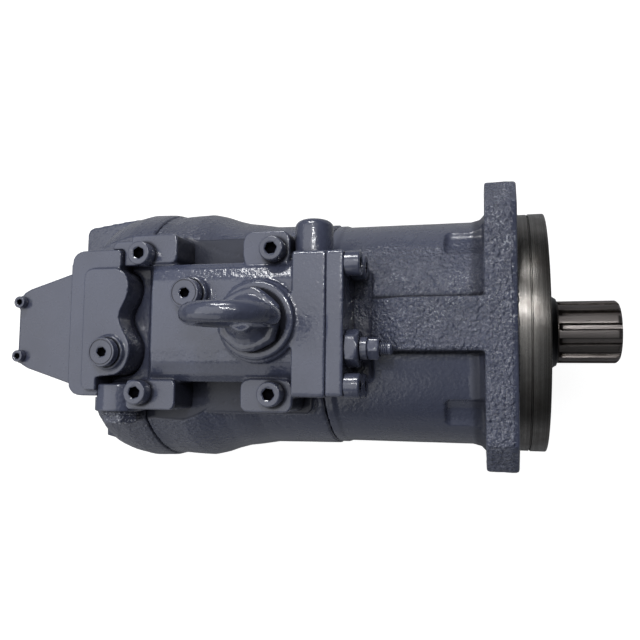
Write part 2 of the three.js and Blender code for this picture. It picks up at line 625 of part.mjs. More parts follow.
function regulatorCasing() {
  const ears = [
    [-256, -222, 42, 62, 4],
    [-257, -221, -57, -37, 4],
    [-174.5, -142.4, 38, 61, 7],
    [-175, -139.5, -57.5, -36, 7],
  ].map(([x0, x1, y0, y1, corner]) => raised(roundedBox(x0, x1, y0, y1, corner), TOP_FLAT, EAR_TOP));
  const shelves = [[-275, -248, 42, 60], [-275, -248, -57, -39]]
    .map(([x0, x1, y0, y1]) => raised(roundedBox(x0, x1, y0, y1, 6), TOP_FLAT, SHELF_TOP));
  const crown = new THREE.Shape();
  crown.moveTo(BODY.low, TOP_FLAT);
  crown.lineTo(BODY.high, TOP_FLAT);
  crown.lineTo(BODY.high, BODY.edge);
  crown.quadraticCurveTo(BODY.high - 4, BODY.crown, 18, BODY.crown);
  crown.lineTo(-16, BODY.crown);
  crown.quadraticCurveTo(BODY.low + 6, BODY.crown - 1, BODY.low, BODY.edge - 3);
  crown.closePath();
  const { lowWaist } = PILOT_COVER;
  const slope = sideways(outline([
    [BODY.left, TOP_FLAT], [BODY.slopeTop + 2, TOP_FLAT], [BODY.slopeTop + 2, BODY.crown + 4],
    [BODY.slopeTop, BODY.crown - 3], [BODY.left, TRENCH_FLOOR],
  ]), -60, 60);
  const { low, high } = END_BLOCK;
  const overhang = -128; // in front of this the end block hangs clear of the casing
  const body = joined(
    carried(crown, BODY.slopeTop, BODY.right + 1),
    carried(crown, BODY.left, BODY.slopeTop + 1).intersect(slope),
    raised(roundedBox(-285, BODY.slopeTop + 1, BODY.low - 2, BODY.high + 2, 4), TOP_FLAT, TRENCH_FLOOR),
    ...ears,
    ...shelves,
    carried(roundedBox(low, high, TOP_FLAT, END_BLOCK.top, 3), END_BLOCK.left, overhang),
    carried(roundedBox(low, high, END_PLATE.bottom, END_BLOCK.top, 3), overhang - 0.5, END_BLOCK.right),
    drum('z', EYE.seatRadius + 2, 95, EYE.seatTop - 4, [EYE.x, EYE.y], 28),
    drum('z', EYE.seatRadius, 95, EYE.seatTop, [EYE.x, EYE.y], 28),
    drum('z', PORT_PLUG.boss, 95, PORT_PLUG.bossTop, [PORT_PLUG.x, PORT_PLUG.y], 20),
    drum('y', SIDE_PLUG.boss, SIDE_PLUG.bossEnd, -40, [SIDE_PLUG.x, SIDE_PLUG.z], 24)
      .intersect(box(-300, -240, -70, -30, TOP_FLAT, 110)),
    drum('y', SIDE_CAP.radius + 1, 30, END_BLOCK.high, [SIDE_CAP.x - 1.2, SIDE_CAP.z], 20),
  );
  return cut(
    body,
    raised(pilotCoverOutline(COVER_GAP), TOP_FLAT - 1, FAR, 6),
    box(-300, lowWaist - 5, PILOT_COVER.low - COVER_GAP, PILOT_COVER.high + COVER_GAP, TOP_FLAT - 1, FAR),
    ...regulatorScrewHoles(TOP_FLAT - 1, EAR_TOP + 1),
    bore('x', SERVO.radius + GAP, -190, END_BLOCK.right + 1, [SERVO.y, SERVO.z], 16),
    pinSlot(TOP_FLAT - 1, SERVO.z),
    bore('x', SPOOL.radius + GAP, PILOT_BORE_END, END_BLOCK.right + 1, [SPOOL.y, SPOOL.z], 12),
    drum('z', ROUND_PLUG.stem + SCREW_GAP, 96, PORT_PLUG.bossTop + 1, [PORT_PLUG.x, PORT_PLUG.y], 20),
    drum('z', 6 + SCREW_GAP, 100, EYE.seatTop + 1, [EYE.x + EYE.offset, EYE.y], 16),
    drum('y', 7.5 + SCREW_GAP, -70, -47.5, [SIDE_PLUG.x, SIDE_PLUG.z], 12),
    drum('y', 8 + SCREW_GAP, 42.8, END_BLOCK.high + 1, [SIDE_CAP.x, SIDE_CAP.z], 20),
    ...plateScrewHoles(END_BLOCK.right - 12, END_BLOCK.right + 1),
  );
}

function plateScrews() {
  return [[37.5, 101], [-39.5, 101], [37.5, 81.5], [-39.5, 81.5]];
}

function plateScrewHoles(x0, x1) {
  return plateScrews().map((at) => drum('x', M10.radius + SCREW_GAP, x0, x1, at, 12));
}

function regulatorEndPlate() {
  const { low, high, top } = END_BLOCK;
  const { right, bottom } = END_PLATE;
  const plate = carried(roundedBox(low + 0.5, high, bottom, top - 0.5, 3), END_BLOCK.right, right);
  return cut(
    plate,
    drum('x', ADJUSTER.thread + SCREW_GAP, END_BLOCK.right - 1, right + 1, [ADJUSTER.y, ADJUSTER.z], 16),
    bore('x', SERVO.radius + GAP, END_BLOCK.right - 1, SERVO.front + 1, [SERVO.y, SERVO.z], 16),
    ...plateScrewHoles(END_BLOCK.right - 1, right + 1),
  );
}

function servoPiston() {
  const { y, z, radius, front, back, pinX, pinRadius } = SERVO;
  return joined(
    drum('x', radius, back, front, [y, z], 16),
    drum('z', pinRadius, PIN_BALL.z, z, [pinX, y], 8),
    ball(PIN_BALL.radius, pinX, y, PIN_BALL.z, 12),
  );
}

function spool() {
  const { y, z, radius, front, back } = SPOOL;
  const stem = radius - 2.5;
  const land = 14;
  return turned([
    [back, 0], [back, radius], [back + land, radius], [back + land, stem], [-190, stem], [-190, radius],
    [-176, radius], [-176, stem], [front - land, stem], [front - land, radius], [front, radius], [front, 0],
  ], 12).translate([0, y, z]);
}

function spoolSpring() {
  return coil(3.6, 0.7, 6, SPOOL.front + 4, -129).translate([0, SPOOL.y, SPOOL.z]);
}

function adjustingScrew() {
  const { y, z, tip, thread } = ADJUSTER;
  const seatBack = -126.5;
  const seat = drum('x', SPOOL.radius - 0.2, seatBack, seatBack + 4, [y, z], 20);
  const stem = drum('x', thread, seatBack + 2.5, tip - 1, [y, z], 16);
  const point = drum('x', thread, tip - 1, tip, [y, z], 16, thread - 1);
  return cut(joined(seat, stem, point), box(tip - 2, tip + 1, y - 0.6, y + 0.6, z - 6, z + 6));
}

function adjusterHex() {
  const { y, z, hexAcross, hexEnd } = ADJUSTER;
  const outer = hexBar('x', hexAcross, END_PLATE.right, hexEnd, [y, z])
    .intersect(drum('x', hexAcross / 2 + 4, END_PLATE.right, hexEnd, [y, z], 32, hexAcross / 2 + 0.6));
  return cut(outer, drum('x', ADJUSTER.thread + SCREW_GAP, END_PLATE.right - 1, hexEnd + 1, [y, z], 16));
}

function adjusterLockNut() {
  const { y, z, nutStart, nutEnd } = ADJUSTER;
  const washer = drum('x', 7.4, ADJUSTER.hexEnd + GAP, nutStart + 0.2, [y, z], 24);
  return cut(
    joined(hexBar('x', 13, nutStart, nutEnd, [y, z]), washer),
    drum('x', ADJUSTER.thread + SCREW_GAP, -100, nutEnd + 1, [y, z], 16),
  );
}

function sideCap() {
  const { x, z, radius, end } = SIDE_CAP;
  const dome = ball(radius * 2.2, x, end - radius * 2.2, z, 24);
  const body = drum('y', radius, END_BLOCK.high, end, [x, z], 20).intersect(
    joined(dome, drum('y', radius + 1, END_BLOCK.high, end - 3.5, [x, z], 20)));
  return joined(body, drum('y', 8, 43.2, END_BLOCK.high + 1, [x, z], 20));
}

// The cover's outline in plan. Its right side waves in and out round the plug's boss.
function pilotCoverOutline(grow = 0) {
  const { left, lowWaist, highWaist, low, high } = PILOT_COVER;
  const [bottom, top] = [low - grow, high + grow];
  const shape = new THREE.Shape();
  shape.moveTo(left + 11, bottom);
  shape.lineTo(lowWaist + grow - 3, bottom);
  shape.quadraticCurveTo(lowWaist + grow, bottom, lowWaist + grow, bottom + 3);
  shape.lineTo(lowWaist + grow, -35.5);
  shape.lineTo(-266 + grow, -34 - grow);
  shape.bezierCurveTo(-259 + grow, -32, -255.5 + grow, -25, -255.2 + grow, -17);
  shape.bezierCurveTo(-255 + grow, -9, -262.5 + grow, -4, -264 + grow, 5);
  shape.bezierCurveTo(-264.5 + grow, 12, -257.6 + grow, 16, -257.4 + grow, 26);
  shape.bezierCurveTo(-257.2 + grow, 33, -261 + grow, 38, -267 + grow, 39 + grow);
  shape.lineTo(highWaist + grow, 42);
  shape.lineTo(highWaist + grow, top - 3);
  shape.quadraticCurveTo(highWaist + grow, top, highWaist + grow - 3, top);
  shape.lineTo(left + 10, top);
  shape.quadraticCurveTo(left, top, left, top - 11);
  shape.lineTo(left, bottom + 11);
  shape.quadraticCurveTo(left, bottom, left + 11, bottom);
  return shape;
}

function pilotCover() {
  const { left, low, high, top } = PILOT_COVER;
  const pastTheWaves = -250;
  const step = raised(pilotCoverOutline(), TOP_FLAT, top - 4, 6);
  const plateau = raised(pilotCoverOutline(), top - 5, top, 6)
    .intersect(raised(roundedBox(left + 12.5, pastTheWaves, low + 4, high - 13.5, 6), top - 6, top + 1));
  const plugBoss = drum('z', PILOT_PLUG.boss, top - 4, PILOT_PLUG.bossTop, [PILOT_PLUG.x, PILOT_PLUG.y]);
  return cut(
    joined(step, plateau, plugBoss),
    drum('z', ROUND_PLUG.stem + SCREW_GAP, 84, PILOT_PLUG.bossTop + 1, [PILOT_PLUG.x, PILOT_PLUG.y]),
  );
}

// The short bar that pilot pressure pushes against the spool.
function pilotPiston() {
  return drum('x', SPOOL.radius - 1, PILOT_BORE_END + 1.5, SPOOL.back - GAP, [SPOOL.y, SPOOL.z], 12);
}

function liftingEye() {
  const { y, seatTop } = EYE;
  const x = EYE.x + EYE.offset;
  const ringRadius = 23.5;
  const tube = 6.2;
  const centre = seatTop + 14 + ringRadius - 2;
  const torus = new THREE.TorusGeometry(ringRadius, tube, 8, 24).rotateX(Math.PI / 2);
  const eye = solid(torus.translate(x, y, centre));
  const collar = drum('z', 20.5, seatTop, seatTop + 6, [x, y], 8).intersect(
    drum('z', 20, seatTop, seatTop + 6, [x, y], 16));
  const neck = drum('z', 15, seatTop + 5, seatTop + 16, [x, y], 16, 8);
  return joined(eye, collar, neck, drum('z', 6, seatTop - 13, seatTop + 1, [x, y], 16));
}

function sidePlug() {
  const { x, z, hexAcross, bossEnd, end } = SIDE_PLUG;
  const flange = drum('y', hexAcross / 2 + 1.5, bossEnd - 2.5, bossEnd, [x, z], 24);
  const stem = drum('y', 7.5, bossEnd - 1, -48, [x, z], 12);
  return joined(hexBar('y', hexAcross, end, bossEnd - 2, [x, z]), flange, stem);
}

// ---------------------------------------------------------------- assembly

function addCasings() {
  place('front_casing', frontCasing(), PAINT);
  place('rear_casing', rearCasing(), PAINT);
  place('end_cover', endCover(), PAINT);
  place('rear_cap', rearCap(), DARK_PAINT);
  place('seal_cover', sealCover(), STEEL);
  place('shaft_seal', shaftSeal(), RUBBER);
  boltCorners(CASING_BOLT.offset).forEach(([y, z], i) => {
    place(`casing_bolt_${i + 1}`, casingBolt(), DARK_PAINT, [CASING_BOLT.seat, y, z]);
  });
  rearCapScrews().forEach(([x, y], i) => {
    const screw = capScrew(CAP_SCREW.radius, CAP_SCREW.head, CAP_SCREW.headHeight, 30);
    place(`rear_cap_screw_${i + 1}`, screw, DARK_PAINT, [x, y, REAR_CAP.top]);
  });
}

function addRotatingGroup() {
  const group = new THREE.Group();
  pump.add(group);
  place('drive_shaft', driveShaft(), BARE_STEEL, [0, 0, 0], group);
  place('front_bearing_outer', frontBearingOuter(), BARE_STEEL, [0, 0, 0], group);
  place('front_bearing_inner', frontBearingInner(), BARE_STEEL, [0, 0, 0], group);
  place('rear_bearing', rearBearing(), BARE_STEEL, [0, 0, 0], group);
  place('swash_support', swashSupport(), IRON, [0, 0, 0], group);
  place('swash_plate', swashPlate(), IRON, [0, 0, 0], group);
  place('retainer_plate', retainerPlate(), BARE_STEEL, [0, 0, 0], group);
  place('spherical_bush', sphericalBush(), BARE_STEEL, [0, 0, 0], group);
  const barrelSpring = coil(24.4, 1.7, 4, BLOCK.front - 29, TILT_AXIS_X - 38);
  place('barrel_spring', barrelSpring, BARE_STEEL, [0, 0, 0], group);
  place('cylinder_block', cylinderBlock(), IRON, [0, 0, 0], group);
  place('valve_plate', valvePlate(), BRONZE, [0, 0, 0], group);
  for (let i = 0; i < PISTON_COUNT; i += 1) {
    const [y, z] = aroundShaft(i);
    place(`piston_${i + 1}`, piston(), BARE_STEEL, [0, y, z], group);
    place(`shoe_${i + 1}`, shoe(), BRONZE, [TILT_AXIS_X - GAP, y, z], group);
  }
}

function addRegulator() {
  place('regulator_casing', regulatorCasing(), PAINT);
  place('regulator_end_plate', regulatorEndPlate(), PAINT);
  place('pilot_cover', pilotCover(), PAINT);
  regulatorScrews().forEach(([x, y], i) => {
    const screw = capScrew(M10.radius, M10.head, M10.headHeight, 40.5);
    place(`regulator_screw_${i + 1}`, screw, DARK_PAINT, [x, y, EAR_TOP]);
  });
  plateScrews().forEach(([y, z], i) => {
    const screw = headForward(capScrew(M10.radius, M10.head, M10.headHeight, 21));
    place(`end_plate_screw_${i + 1}`, screw, DARK_PAINT, [END_PLATE.right, y, z]);
  });
  place('port_plug', roundPlug(8), DARK_PAINT, [PORT_PLUG.x, PORT_PLUG.y, PORT_PLUG.bossTop]);
  place('pilot_plug', roundPlug(7), DARK_PAINT, [PILOT_PLUG.x, PILOT_PLUG.y, PILOT_PLUG.bossTop]);
  place('lifting_eye', liftingEye(), DARK_PAINT);
  place('side_cap', sideCap(), DARK_PAINT);
  place('side_plug', sidePlug(), DARK_PAINT);
  place('adjuster_hex', adjusterHex(), DARK_PAINT);
  place('adjuster_lock_nut', adjusterLockNut(), DARK_PAINT);
  place('adjusting_screw', adjustingScrew(), DARK_PAINT);
  place('servo_piston', servoPiston(), BARE_STEEL);
  place('spool', spool(), BARE_STEEL);
  place('spool_spring', spoolSpring(), BARE_STEEL);
  place('pilot_piston', pilotPiston(), BARE_STEEL);
}

addCasings();
addRotatingGroup();
addRegulator();
pump.position.x = -SHAFT.tip;

const model = new THREE.Group();
model.add(pump);
export default model;
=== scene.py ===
import json
import math

import bpy
import numpy as np
from mathutils import Matrix, Vector

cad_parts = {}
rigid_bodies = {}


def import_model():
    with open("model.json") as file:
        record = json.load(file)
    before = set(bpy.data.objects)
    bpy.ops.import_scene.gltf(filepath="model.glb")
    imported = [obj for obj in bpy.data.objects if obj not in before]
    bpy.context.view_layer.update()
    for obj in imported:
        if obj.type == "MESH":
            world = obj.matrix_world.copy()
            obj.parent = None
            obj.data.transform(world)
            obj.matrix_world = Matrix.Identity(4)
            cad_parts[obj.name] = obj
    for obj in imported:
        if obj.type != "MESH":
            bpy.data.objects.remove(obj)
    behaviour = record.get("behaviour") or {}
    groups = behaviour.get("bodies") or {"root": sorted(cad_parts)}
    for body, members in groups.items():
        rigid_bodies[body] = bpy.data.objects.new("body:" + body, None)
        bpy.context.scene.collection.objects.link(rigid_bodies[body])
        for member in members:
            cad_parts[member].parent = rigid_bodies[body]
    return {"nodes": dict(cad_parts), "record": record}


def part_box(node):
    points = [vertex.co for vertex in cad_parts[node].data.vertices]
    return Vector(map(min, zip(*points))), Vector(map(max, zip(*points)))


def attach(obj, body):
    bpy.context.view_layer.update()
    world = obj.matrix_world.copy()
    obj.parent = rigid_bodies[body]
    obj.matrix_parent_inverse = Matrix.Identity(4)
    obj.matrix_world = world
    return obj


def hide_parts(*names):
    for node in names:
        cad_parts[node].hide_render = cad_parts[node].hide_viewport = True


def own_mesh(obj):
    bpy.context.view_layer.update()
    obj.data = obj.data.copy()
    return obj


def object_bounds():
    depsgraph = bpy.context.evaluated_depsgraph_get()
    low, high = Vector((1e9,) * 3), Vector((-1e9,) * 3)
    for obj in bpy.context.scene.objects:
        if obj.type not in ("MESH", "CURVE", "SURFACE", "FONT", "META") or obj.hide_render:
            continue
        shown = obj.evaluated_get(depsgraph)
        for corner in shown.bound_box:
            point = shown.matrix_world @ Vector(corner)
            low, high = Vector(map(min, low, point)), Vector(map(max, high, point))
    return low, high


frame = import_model()
CAD_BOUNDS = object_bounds()

# ------------------------------------------------------------------ dimensions
# Lengths of shapes are millimetres, with x measured from the flange's mounting face, y across
# the shaft and z up. MM and FLANGE_X turn them into the frame's metres. Material nodes, lamps
# and the camera are in the frame's metres.

MM = 0.001
MOUNTS = {mount["name"]: mount for mount in frame["record"]["mounts"]}
FLANGE_X = MOUNTS["flange_face"]["pos_m"][0]
BODIES = frame["record"]["behaviour"]["bodies"]
BODY_OF = {node: body for body, nodes in BODIES.items() for node in nodes}

# Every node that isn't named here is a painted fitting.
SLOTS = {
    "casing_paint": ["front_casing", "rear_casing", "end_cover", "regulator_casing",
                     "regulator_end_plate", "pilot_cover"],
    "machined_steel": ["seal_cover"],
    "shaft_steel": ["drive_shaft"],
    "cast_iron": ["swash_support", "swash_plate", "cylinder_block"],
    "bronze": ["valve_plate"] + [f"shoe_{i}" for i in range(1, 8)],
    "seal_rubber": ["shaft_seal"],
    "ground_steel": ["front_bearing_outer", "front_bearing_inner", "rear_bearing", "retainer_plate",
                     "spherical_bush", "barrel_spring", "servo_piston", "spool", "spool_spring",
                     "pilot_piston"] + [f"piston_{i}" for i in range(1, 8)],
}
SLOT_OF = {node: slot for slot, nodes in SLOTS.items() for node in nodes}

COARSE = 1.0

# Centres of the regulator's round seats and bosses: (x, y) seen from above, (x, z) at the side.
EYE_SEAT = (-160.5, 1.2)
PORT_BOSS = (-206.6, 18.8)
PILOT_BOSS = (-270.4, -18.8)
SIDE_BOSS = (-269.5, 83.5)

FLANGE_BACK = -20.5
RIB_HALF = 17
RIB_FOOT = 78


def node_box(node):
    """The node's lowest and highest corner in millimetres, x from the flange's face."""
    low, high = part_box(node)
    shift = Vector((FLANGE_X, 0, 0))
    return (low - shift) / MM, (high - shift) / MM


def centre_of(node):
    low, high = node_box(node)
    return (low + high) / 2


def slot_for(node):
    return SLOT_OF.get(node, "fitting_paint")


# ------------------------------------------------------------------ materials

class Shader:
    """Small helper that adds and links nodes of one material."""

    def __init__(self, name):
        self.material = bpy.data.materials.new(name)
        self.material.use_nodes = True
        self.tree = self.material.node_tree
        self.tree.nodes.clear()
        self.output = self.tree.nodes.new("ShaderNodeOutputMaterial")

    def add(self, kind, inputs=None, **settings):
        node = self.tree.nodes.new(kind)
        for key, value in settings.items():
            setattr(node, key, value)
        for key, value in (inputs or {}).items():
            self.feed(node.inputs[key], value)
        return node

    def feed(self, socket, value):
        if isinstance(value, bpy.types.NodeSocket):
            self.tree.links.new(value, socket)
        elif isinstance(value, bpy.types.Node):
            self.tree.links.new(value.outputs[0], socket)
        else:
            socket.default_value = value

    def math(self, operation, a, b=0.0, clamp=False):
        node = self.add("ShaderNodeMath", operation=operation, use_clamp=clamp)
        self.feed(node.inputs[0], a)
        self.feed(node.inputs[1], b)
        return node.outputs[0]

    def noise(self, scale, detail=3.0, roughness=0.55, where=None, dimensions="3D"):
        node = self.add("ShaderNodeTexNoise", noise_dimensions=dimensions)
        node.inputs["Scale"].default_value = scale
        node.inputs["Detail"].default_value = detail
        node.inputs["Roughness"].default_value = roughness
        if where is not None:
            self.feed(node.inputs["W" if dimensions == "1D" else "Vector"], where)
        return node.outputs[0]

    def spread(self, value, low, high, to_low=0.0, to_high=1.0):
        node = self.add("ShaderNodeMapRange", {0: value, 1: low, 2: high, 3: to_low, 4: to_high})
        return node.outputs[0]

    def attribute(self, name):
        return self.add("ShaderNodeAttribute", attribute_name=name).outputs["Fac"]

    def mix(self, share, first, second):
        node = self.add("ShaderNodeMix", data_type="RGBA")
        self.feed(node.inputs["Factor"], share)
        self.feed(node.inputs["A"], first)
        self.feed(node.inputs["B"], second)
        return node.outputs["Result"]

    def bump(self, height, distance, strength=1.0, normal=None):
        node = self.add("ShaderNodeBump",
                        {"Strength": strength, "Distance": distance, "Height": height})
        if normal is not None:
            self.feed(node.inputs["Normal"], normal)
        return node.outputs[0]

    def finish(self, **inputs):
        surface = self.add("ShaderNodeBsdfPrincipled")
        for key, value in inputs.items():
            self.feed(surface.inputs[key.replace("_", " ")], value)
        self.tree.links.new(surface.outputs[0], self.output.inputs[0])
        return self.material


def place_of(shader):
    """The point on the object, in metres, before any pose."""
    return shader.add("ShaderNodeTexCoord").outputs["Object"]


def scaled(tone, share):
    return [c * share for c in tone[:3]] + [1]


# Near black, for dust and painted shade in creases.
CREASE_DUST_AND_SHADE = (0.014, 0.013, 0.014, 1)
# A painted highlight for sharp outer edges.
PAINTED_EDGE_HIGHLIGHT = (0.36, 0.37, 0.43, 1)
# Painted glints.
PAINTED_GLINT = (0.62, 0.65, 0.72, 1)
# A darker copy of the paint, for painted shade.
PAINTED_SHADE_TONE = (0.040, 0.042, 0.062, 1)
# Near black, for painted shade.
PAINTED_SHADE_BLACK = (0.006, 0.006, 0.008, 1)
SOOT_ON_STEEL = (0.02, 0.02, 0.022, 1)


def paint(name, tone, sparkle):
    """Glossy enamel. Three attributes of the mesh, 0 to 1, guide it: 'cast' is how rough the iron
    under it is, another how much painted shade darkens it, and 'pale' how many painted glints it
    has."""
    s = Shader(name)
    where = place_of(s)
    cast, painted_shade_and_oil, pale = s.attribute("cast"), s.attribute("painted_shade_and_oil"), s.attribute("pale")
    edges = s.add("ShaderNodeNewGeometry").outputs["Pointiness"]

    cloud = s.noise(22.0, 4.0, 0.6, where)
    fine = s.noise(160.0, 3.0, 0.6, where)
    shade = s.mix(s.spread(cloud, 0.35, 0.68), tone, scaled(tone, 1.22))
    # Concave creases get dust and painted shade, near black.
    crease_dust_and_shade = s.math("MULTIPLY", s.spread(edges, 0.485, 0.42), s.spread(fine, 0.25, 0.5), clamp=True)
    shade = s.mix(s.math("MULTIPLY", crease_dust_and_shade, 0.8), shade, CREASE_DUST_AND_SHADE)
    # Painted highlight: sharp outer edges are lightened where the gloss would catch the light.
    edge_highlight = s.math("MULTIPLY", s.spread(edges, 0.54, 0.62), s.spread(fine, 0.42, 0.62), clamp=True)
    shade = s.mix(s.math("MULTIPLY", edge_highlight, 0.42), shade, PAINTED_EDGE_HIGHLIGHT)
    # Painted glints: bright specks in the colour stand in for sparkles of light on the rough iron.
    painted_glints = s.math("MULTIPLY", s.spread(s.noise(620.0, 2.0, 0.6, where), 0.55, 0.64),
                    s.spread(s.noise(85.0, 2.0, 0.5, where), 0.42, 0.62, 0.15, 1.0))
    shade = s.mix(s.math("MULTIPLY", pale, painted_glints), shade, PAINTED_GLINT)
    # Painted shade: hollows and corners that the occlusion finds turn to a darker copy of the paint.
    corner = s.add("ShaderNodeAmbientOcclusion", {"Distance": 0.022}, samples=6).outputs["AO"]
    outside_painted_shade = s.spread(corner, 0.12, 0.75)
    shade = s.mix(outside_painted_shade, PAINTED_SHADE_TONE, shade)
    # Painted shade: near black where the shade attribute is high; the paint's and the coat's
    # reflection weaken there and in the hollows.
    shade = s.mix(painted_shade_and_oil, shade, PAINTED_SHADE_BLACK)
    unshaded_share = s.math("MULTIPLY", s.math("SUBTRACT", 1.0, painted_shade_and_oil),
                   s.spread(outside_painted_shade, 0.0, 1.0, 0.25, 1.0))

    gloss = s.math("ADD", s.spread(s.noise(60.0, 3.0, 0.6, where), 0.3, 0.7, 0.20, 0.36),
                   s.math("MULTIPLY", painted_shade_and_oil, 0.35))
    pebble = s.add("ShaderNodeTexVoronoi", {"Vector": where, "Scale": 450.0}, feature="SMOOTH_F1")
    lumps = s.noise(360.0, 3.0, 0.65, where)
    depth = s.math("POWER", cast, 1.8)
    skin = s.math("ADD", lumps, s.math("MULTIPLY", pebble.outputs[0], -0.5))
    rough = s.bump(s.math("MULTIPLY", skin, depth), 0.0026 * sparkle)
    peel = s.bump(s.noise(520.0, 2.0, 0.5, where), 0.00010, normal=rough)
    wave = s.bump(s.noise(75.0, 2.0, 0.5, where), 0.0003, normal=peel)
    return s.finish(Base_Color=shade, Roughness=gloss, Normal=wave, Metallic=0.0,
                    Specular_IOR_Level=s.math("MULTIPLY", unshaded_share, 0.6),
                    Coat_Weight=s.math("MULTIPLY", unshaded_share, 0.85), Coat_Roughness=0.06,
                    Coat_IOR=1.6, Coat_Normal=wave)


def turned_steel(name, tone, stain, ring_scale):
    """Steel turned round the shaft's axis: fine rings, stains, and dark where 'soot' is high."""
    s = Shader(name)
    where = place_of(s)
    x, y, z = s.add("ShaderNodeSeparateXYZ", {0: where}).outputs
    radius = s.math("SQRT", s.math("ADD", s.math("MULTIPLY", y, y), s.math("MULTIPLY", z, z)))
    along = s.math("ADD", radius, s.math("MULTIPLY", x, 1.3))
    rings = s.noise(ring_scale, 4.0, 0.7, along, "1D")
    bands = s.noise(ring_scale / 9, 2.0, 0.5, along, "1D")
    cloud = s.noise(45.0, 5.0, 0.65, where)
    shade = s.mix(s.spread(bands, 0.3, 0.7), tone, scaled(tone, 0.62))
    shade = s.mix(s.math("MULTIPLY", s.spread(cloud, 0.48, 0.72), 0.6), shade, stain)
    shade = s.mix(s.attribute("painted_shade_and_oil"), shade, SOOT_ON_STEEL)
    gloss = s.spread(s.math("ADD", s.math("MULTIPLY", rings, 0.6), s.math("MULTIPLY", cloud, 0.4)),
                     0.3, 0.7, 0.20, 0.38)
    ridges = s.bump(rings, 0.00003)
    pits = s.bump(s.noise(700.0, 2.0, 0.5, where), 0.00005, normal=ridges)
    return s.finish(Base_Color=shade, Metallic=1.0, Roughness=gloss, Normal=pits)


def spline_steel(name, tone, stain):
    """Satin steel, darkened with oil and painted shade where the 'groove' attribute is high."""
    s = Shader(name)
    where = place_of(s)
    groove = s.attribute("groove")
    stretched = s.add("ShaderNodeMapping", {"Vector": where, "Scale": (60.0, 900.0, 900.0)})
    streaks = s.noise(1.0, 3.0, 0.6, stretched)
    cloud = s.noise(120.0, 4.0, 0.65, where)
    shade = s.mix(s.spread(streaks, 0.3, 0.7), tone, scaled(tone, 0.7))
    # Oil and painted shade darken the steel here.
    oil_and_shade_share = s.math("MULTIPLY", groove, s.spread(cloud, 0.2, 0.6, 0.55, 1.0), clamp=True)
    shade = s.mix(oil_and_shade_share, shade, stain)
    gloss = s.spread(streaks, 0.3, 0.7, 0.26, 0.48)
    scratch = s.bump(streaks, 0.00008)
    return s.finish(Base_Color=shade, Metallic=0.95, Roughness=gloss, Normal=scratch)


def ground_metal(name, tone, low, high, grain, metallic=1.0):
    """Ground or lapped metal inside the pump."""
    s = Shader(name)
    where = place_of(s)
    stretched = s.add("ShaderNodeMapping", {"Vector": where, "Scale": (1.0, 9.0, 1.0)})
    lines = s.noise(grain, 4.0, 0.6, stretched)
    cloud = s.noise(70.0, 4.0, 0.6, where)
    shade = s.mix(s.spread(cloud, 0.35, 0.7), tone, scaled(tone, 0.72))
    gloss = s.spread(lines, 0.3, 0.7, low, high)
    return s.finish(Base_Color=shade, Metallic=metallic, Roughness=gloss,
                    Normal=s.bump(lines, 0.00006))


def rubber(name):
    s = Shader(name)
    where = place_of(s)
    dust = s.noise(300.0, 4.0, 0.6, where)
    shade = s.mix(s.spread(dust, 0.4, 0.8), (0.012, 0.012, 0.012, 1), (0.045, 0.043, 0.04, 1))
    return s.finish(Base_Color=shade, Roughness=s.spread(dust, 0.3, 0.7, 0.5, 0.8),
                    Normal=s.bump(dust, 0.0001))


CASING_TONE = (0.064, 0.073, 0.118, 1)
FITTING_TONE = (0.062, 0.070, 0.112, 1)
TURNED_TONE, TURNED_STAIN = (0.33, 0.317, 0.30, 1), (0.085, 0.07, 0.06, 1)
# The shaft's second colour is near black, for oil and for painted shade.
SHAFT_TONE, OIL_AND_SHADE = (0.25, 0.228, 0.22, 1), (0.02, 0.016, 0.012, 1)
MATERIALS = {
    "casing_paint": paint("casing_paint", CASING_TONE, 1.0),
    "fitting_paint": paint("fitting_paint", FITTING_TONE, 0.6),
    "machined_steel": turned_steel("machined_steel", TURNED_TONE, TURNED_STAIN, 4200.0),
    "shaft_steel": spline_steel("shaft_steel", SHAFT_TONE, OIL_AND_SHADE),
    "ground_steel": ground_metal("ground_steel", (0.55, 0.54, 0.52, 1), 0.16, 0.34, 260.0),
    "cast_iron": ground_metal("cast_iron", (0.30, 0.29, 0.28, 1), 0.35, 0.6, 180.0, 0.8),
    "bronze": ground_metal("bronze", (0.60, 0.42, 0.20, 1), 0.22, 0.4, 220.0),
    "seal_rubber": rubber("seal_rubber"),
}


for cad_name, cad_object in frame["nodes"].items():
    cad_object.data.materials.clear()
    cad_object.data.materials.append(MATERIALS[slot_for(cad_name)])


# ------------------------------------------------------------------ mesh helpers

def read_points(mesh):
    points = np.empty(len(mesh.vertices) * 3)
    mesh.vertices.foreach_get("co", points)
    return points.reshape(-1, 3)


def write_points(mesh, points):
    mesh.vertices.foreach_set("co", points.astype(np.float32).ravel())
    mesh.update()


def read_normals(mesh):
    normals = np.empty(len(mesh.vertices) * 3)
    mesh.vertices.foreach_get("normal", normals)
    return normals.reshape(-1, 3)


def write_attribute(mesh, name, values):
    attribute = mesh.attributes.new(name, "FLOAT", "POINT")
    attribute.data.foreach_set("value", np.asarray(values, np.float32))


def to_flange(points):
    """Frame metres to millimetres from the flange's face."""
    return (points - np.array([FLANGE_X, 0, 0])) / MM


def to_frame(points):
    return np.asarray(points) * MM + np.array([FLANGE_X, 0, 0])


def new_mesh(name, points, faces):
    """A mesh with its points as they are given."""
    mesh = bpy.data.meshes.new(name)
    mesh.from_pydata(points, [], faces)
    mesh.update()
    return mesh


def framed_mesh(name, points, faces):
    """A mesh from points in millimetres from the flange's face."""
    return new_mesh(name, [tuple(p) for p in to_frame(points)], faces)


def smoothstep(values, low, high):
    t = np.clip((values - low) / (high - low), 0, 1)
    return t * t * (3 - 2 * t)


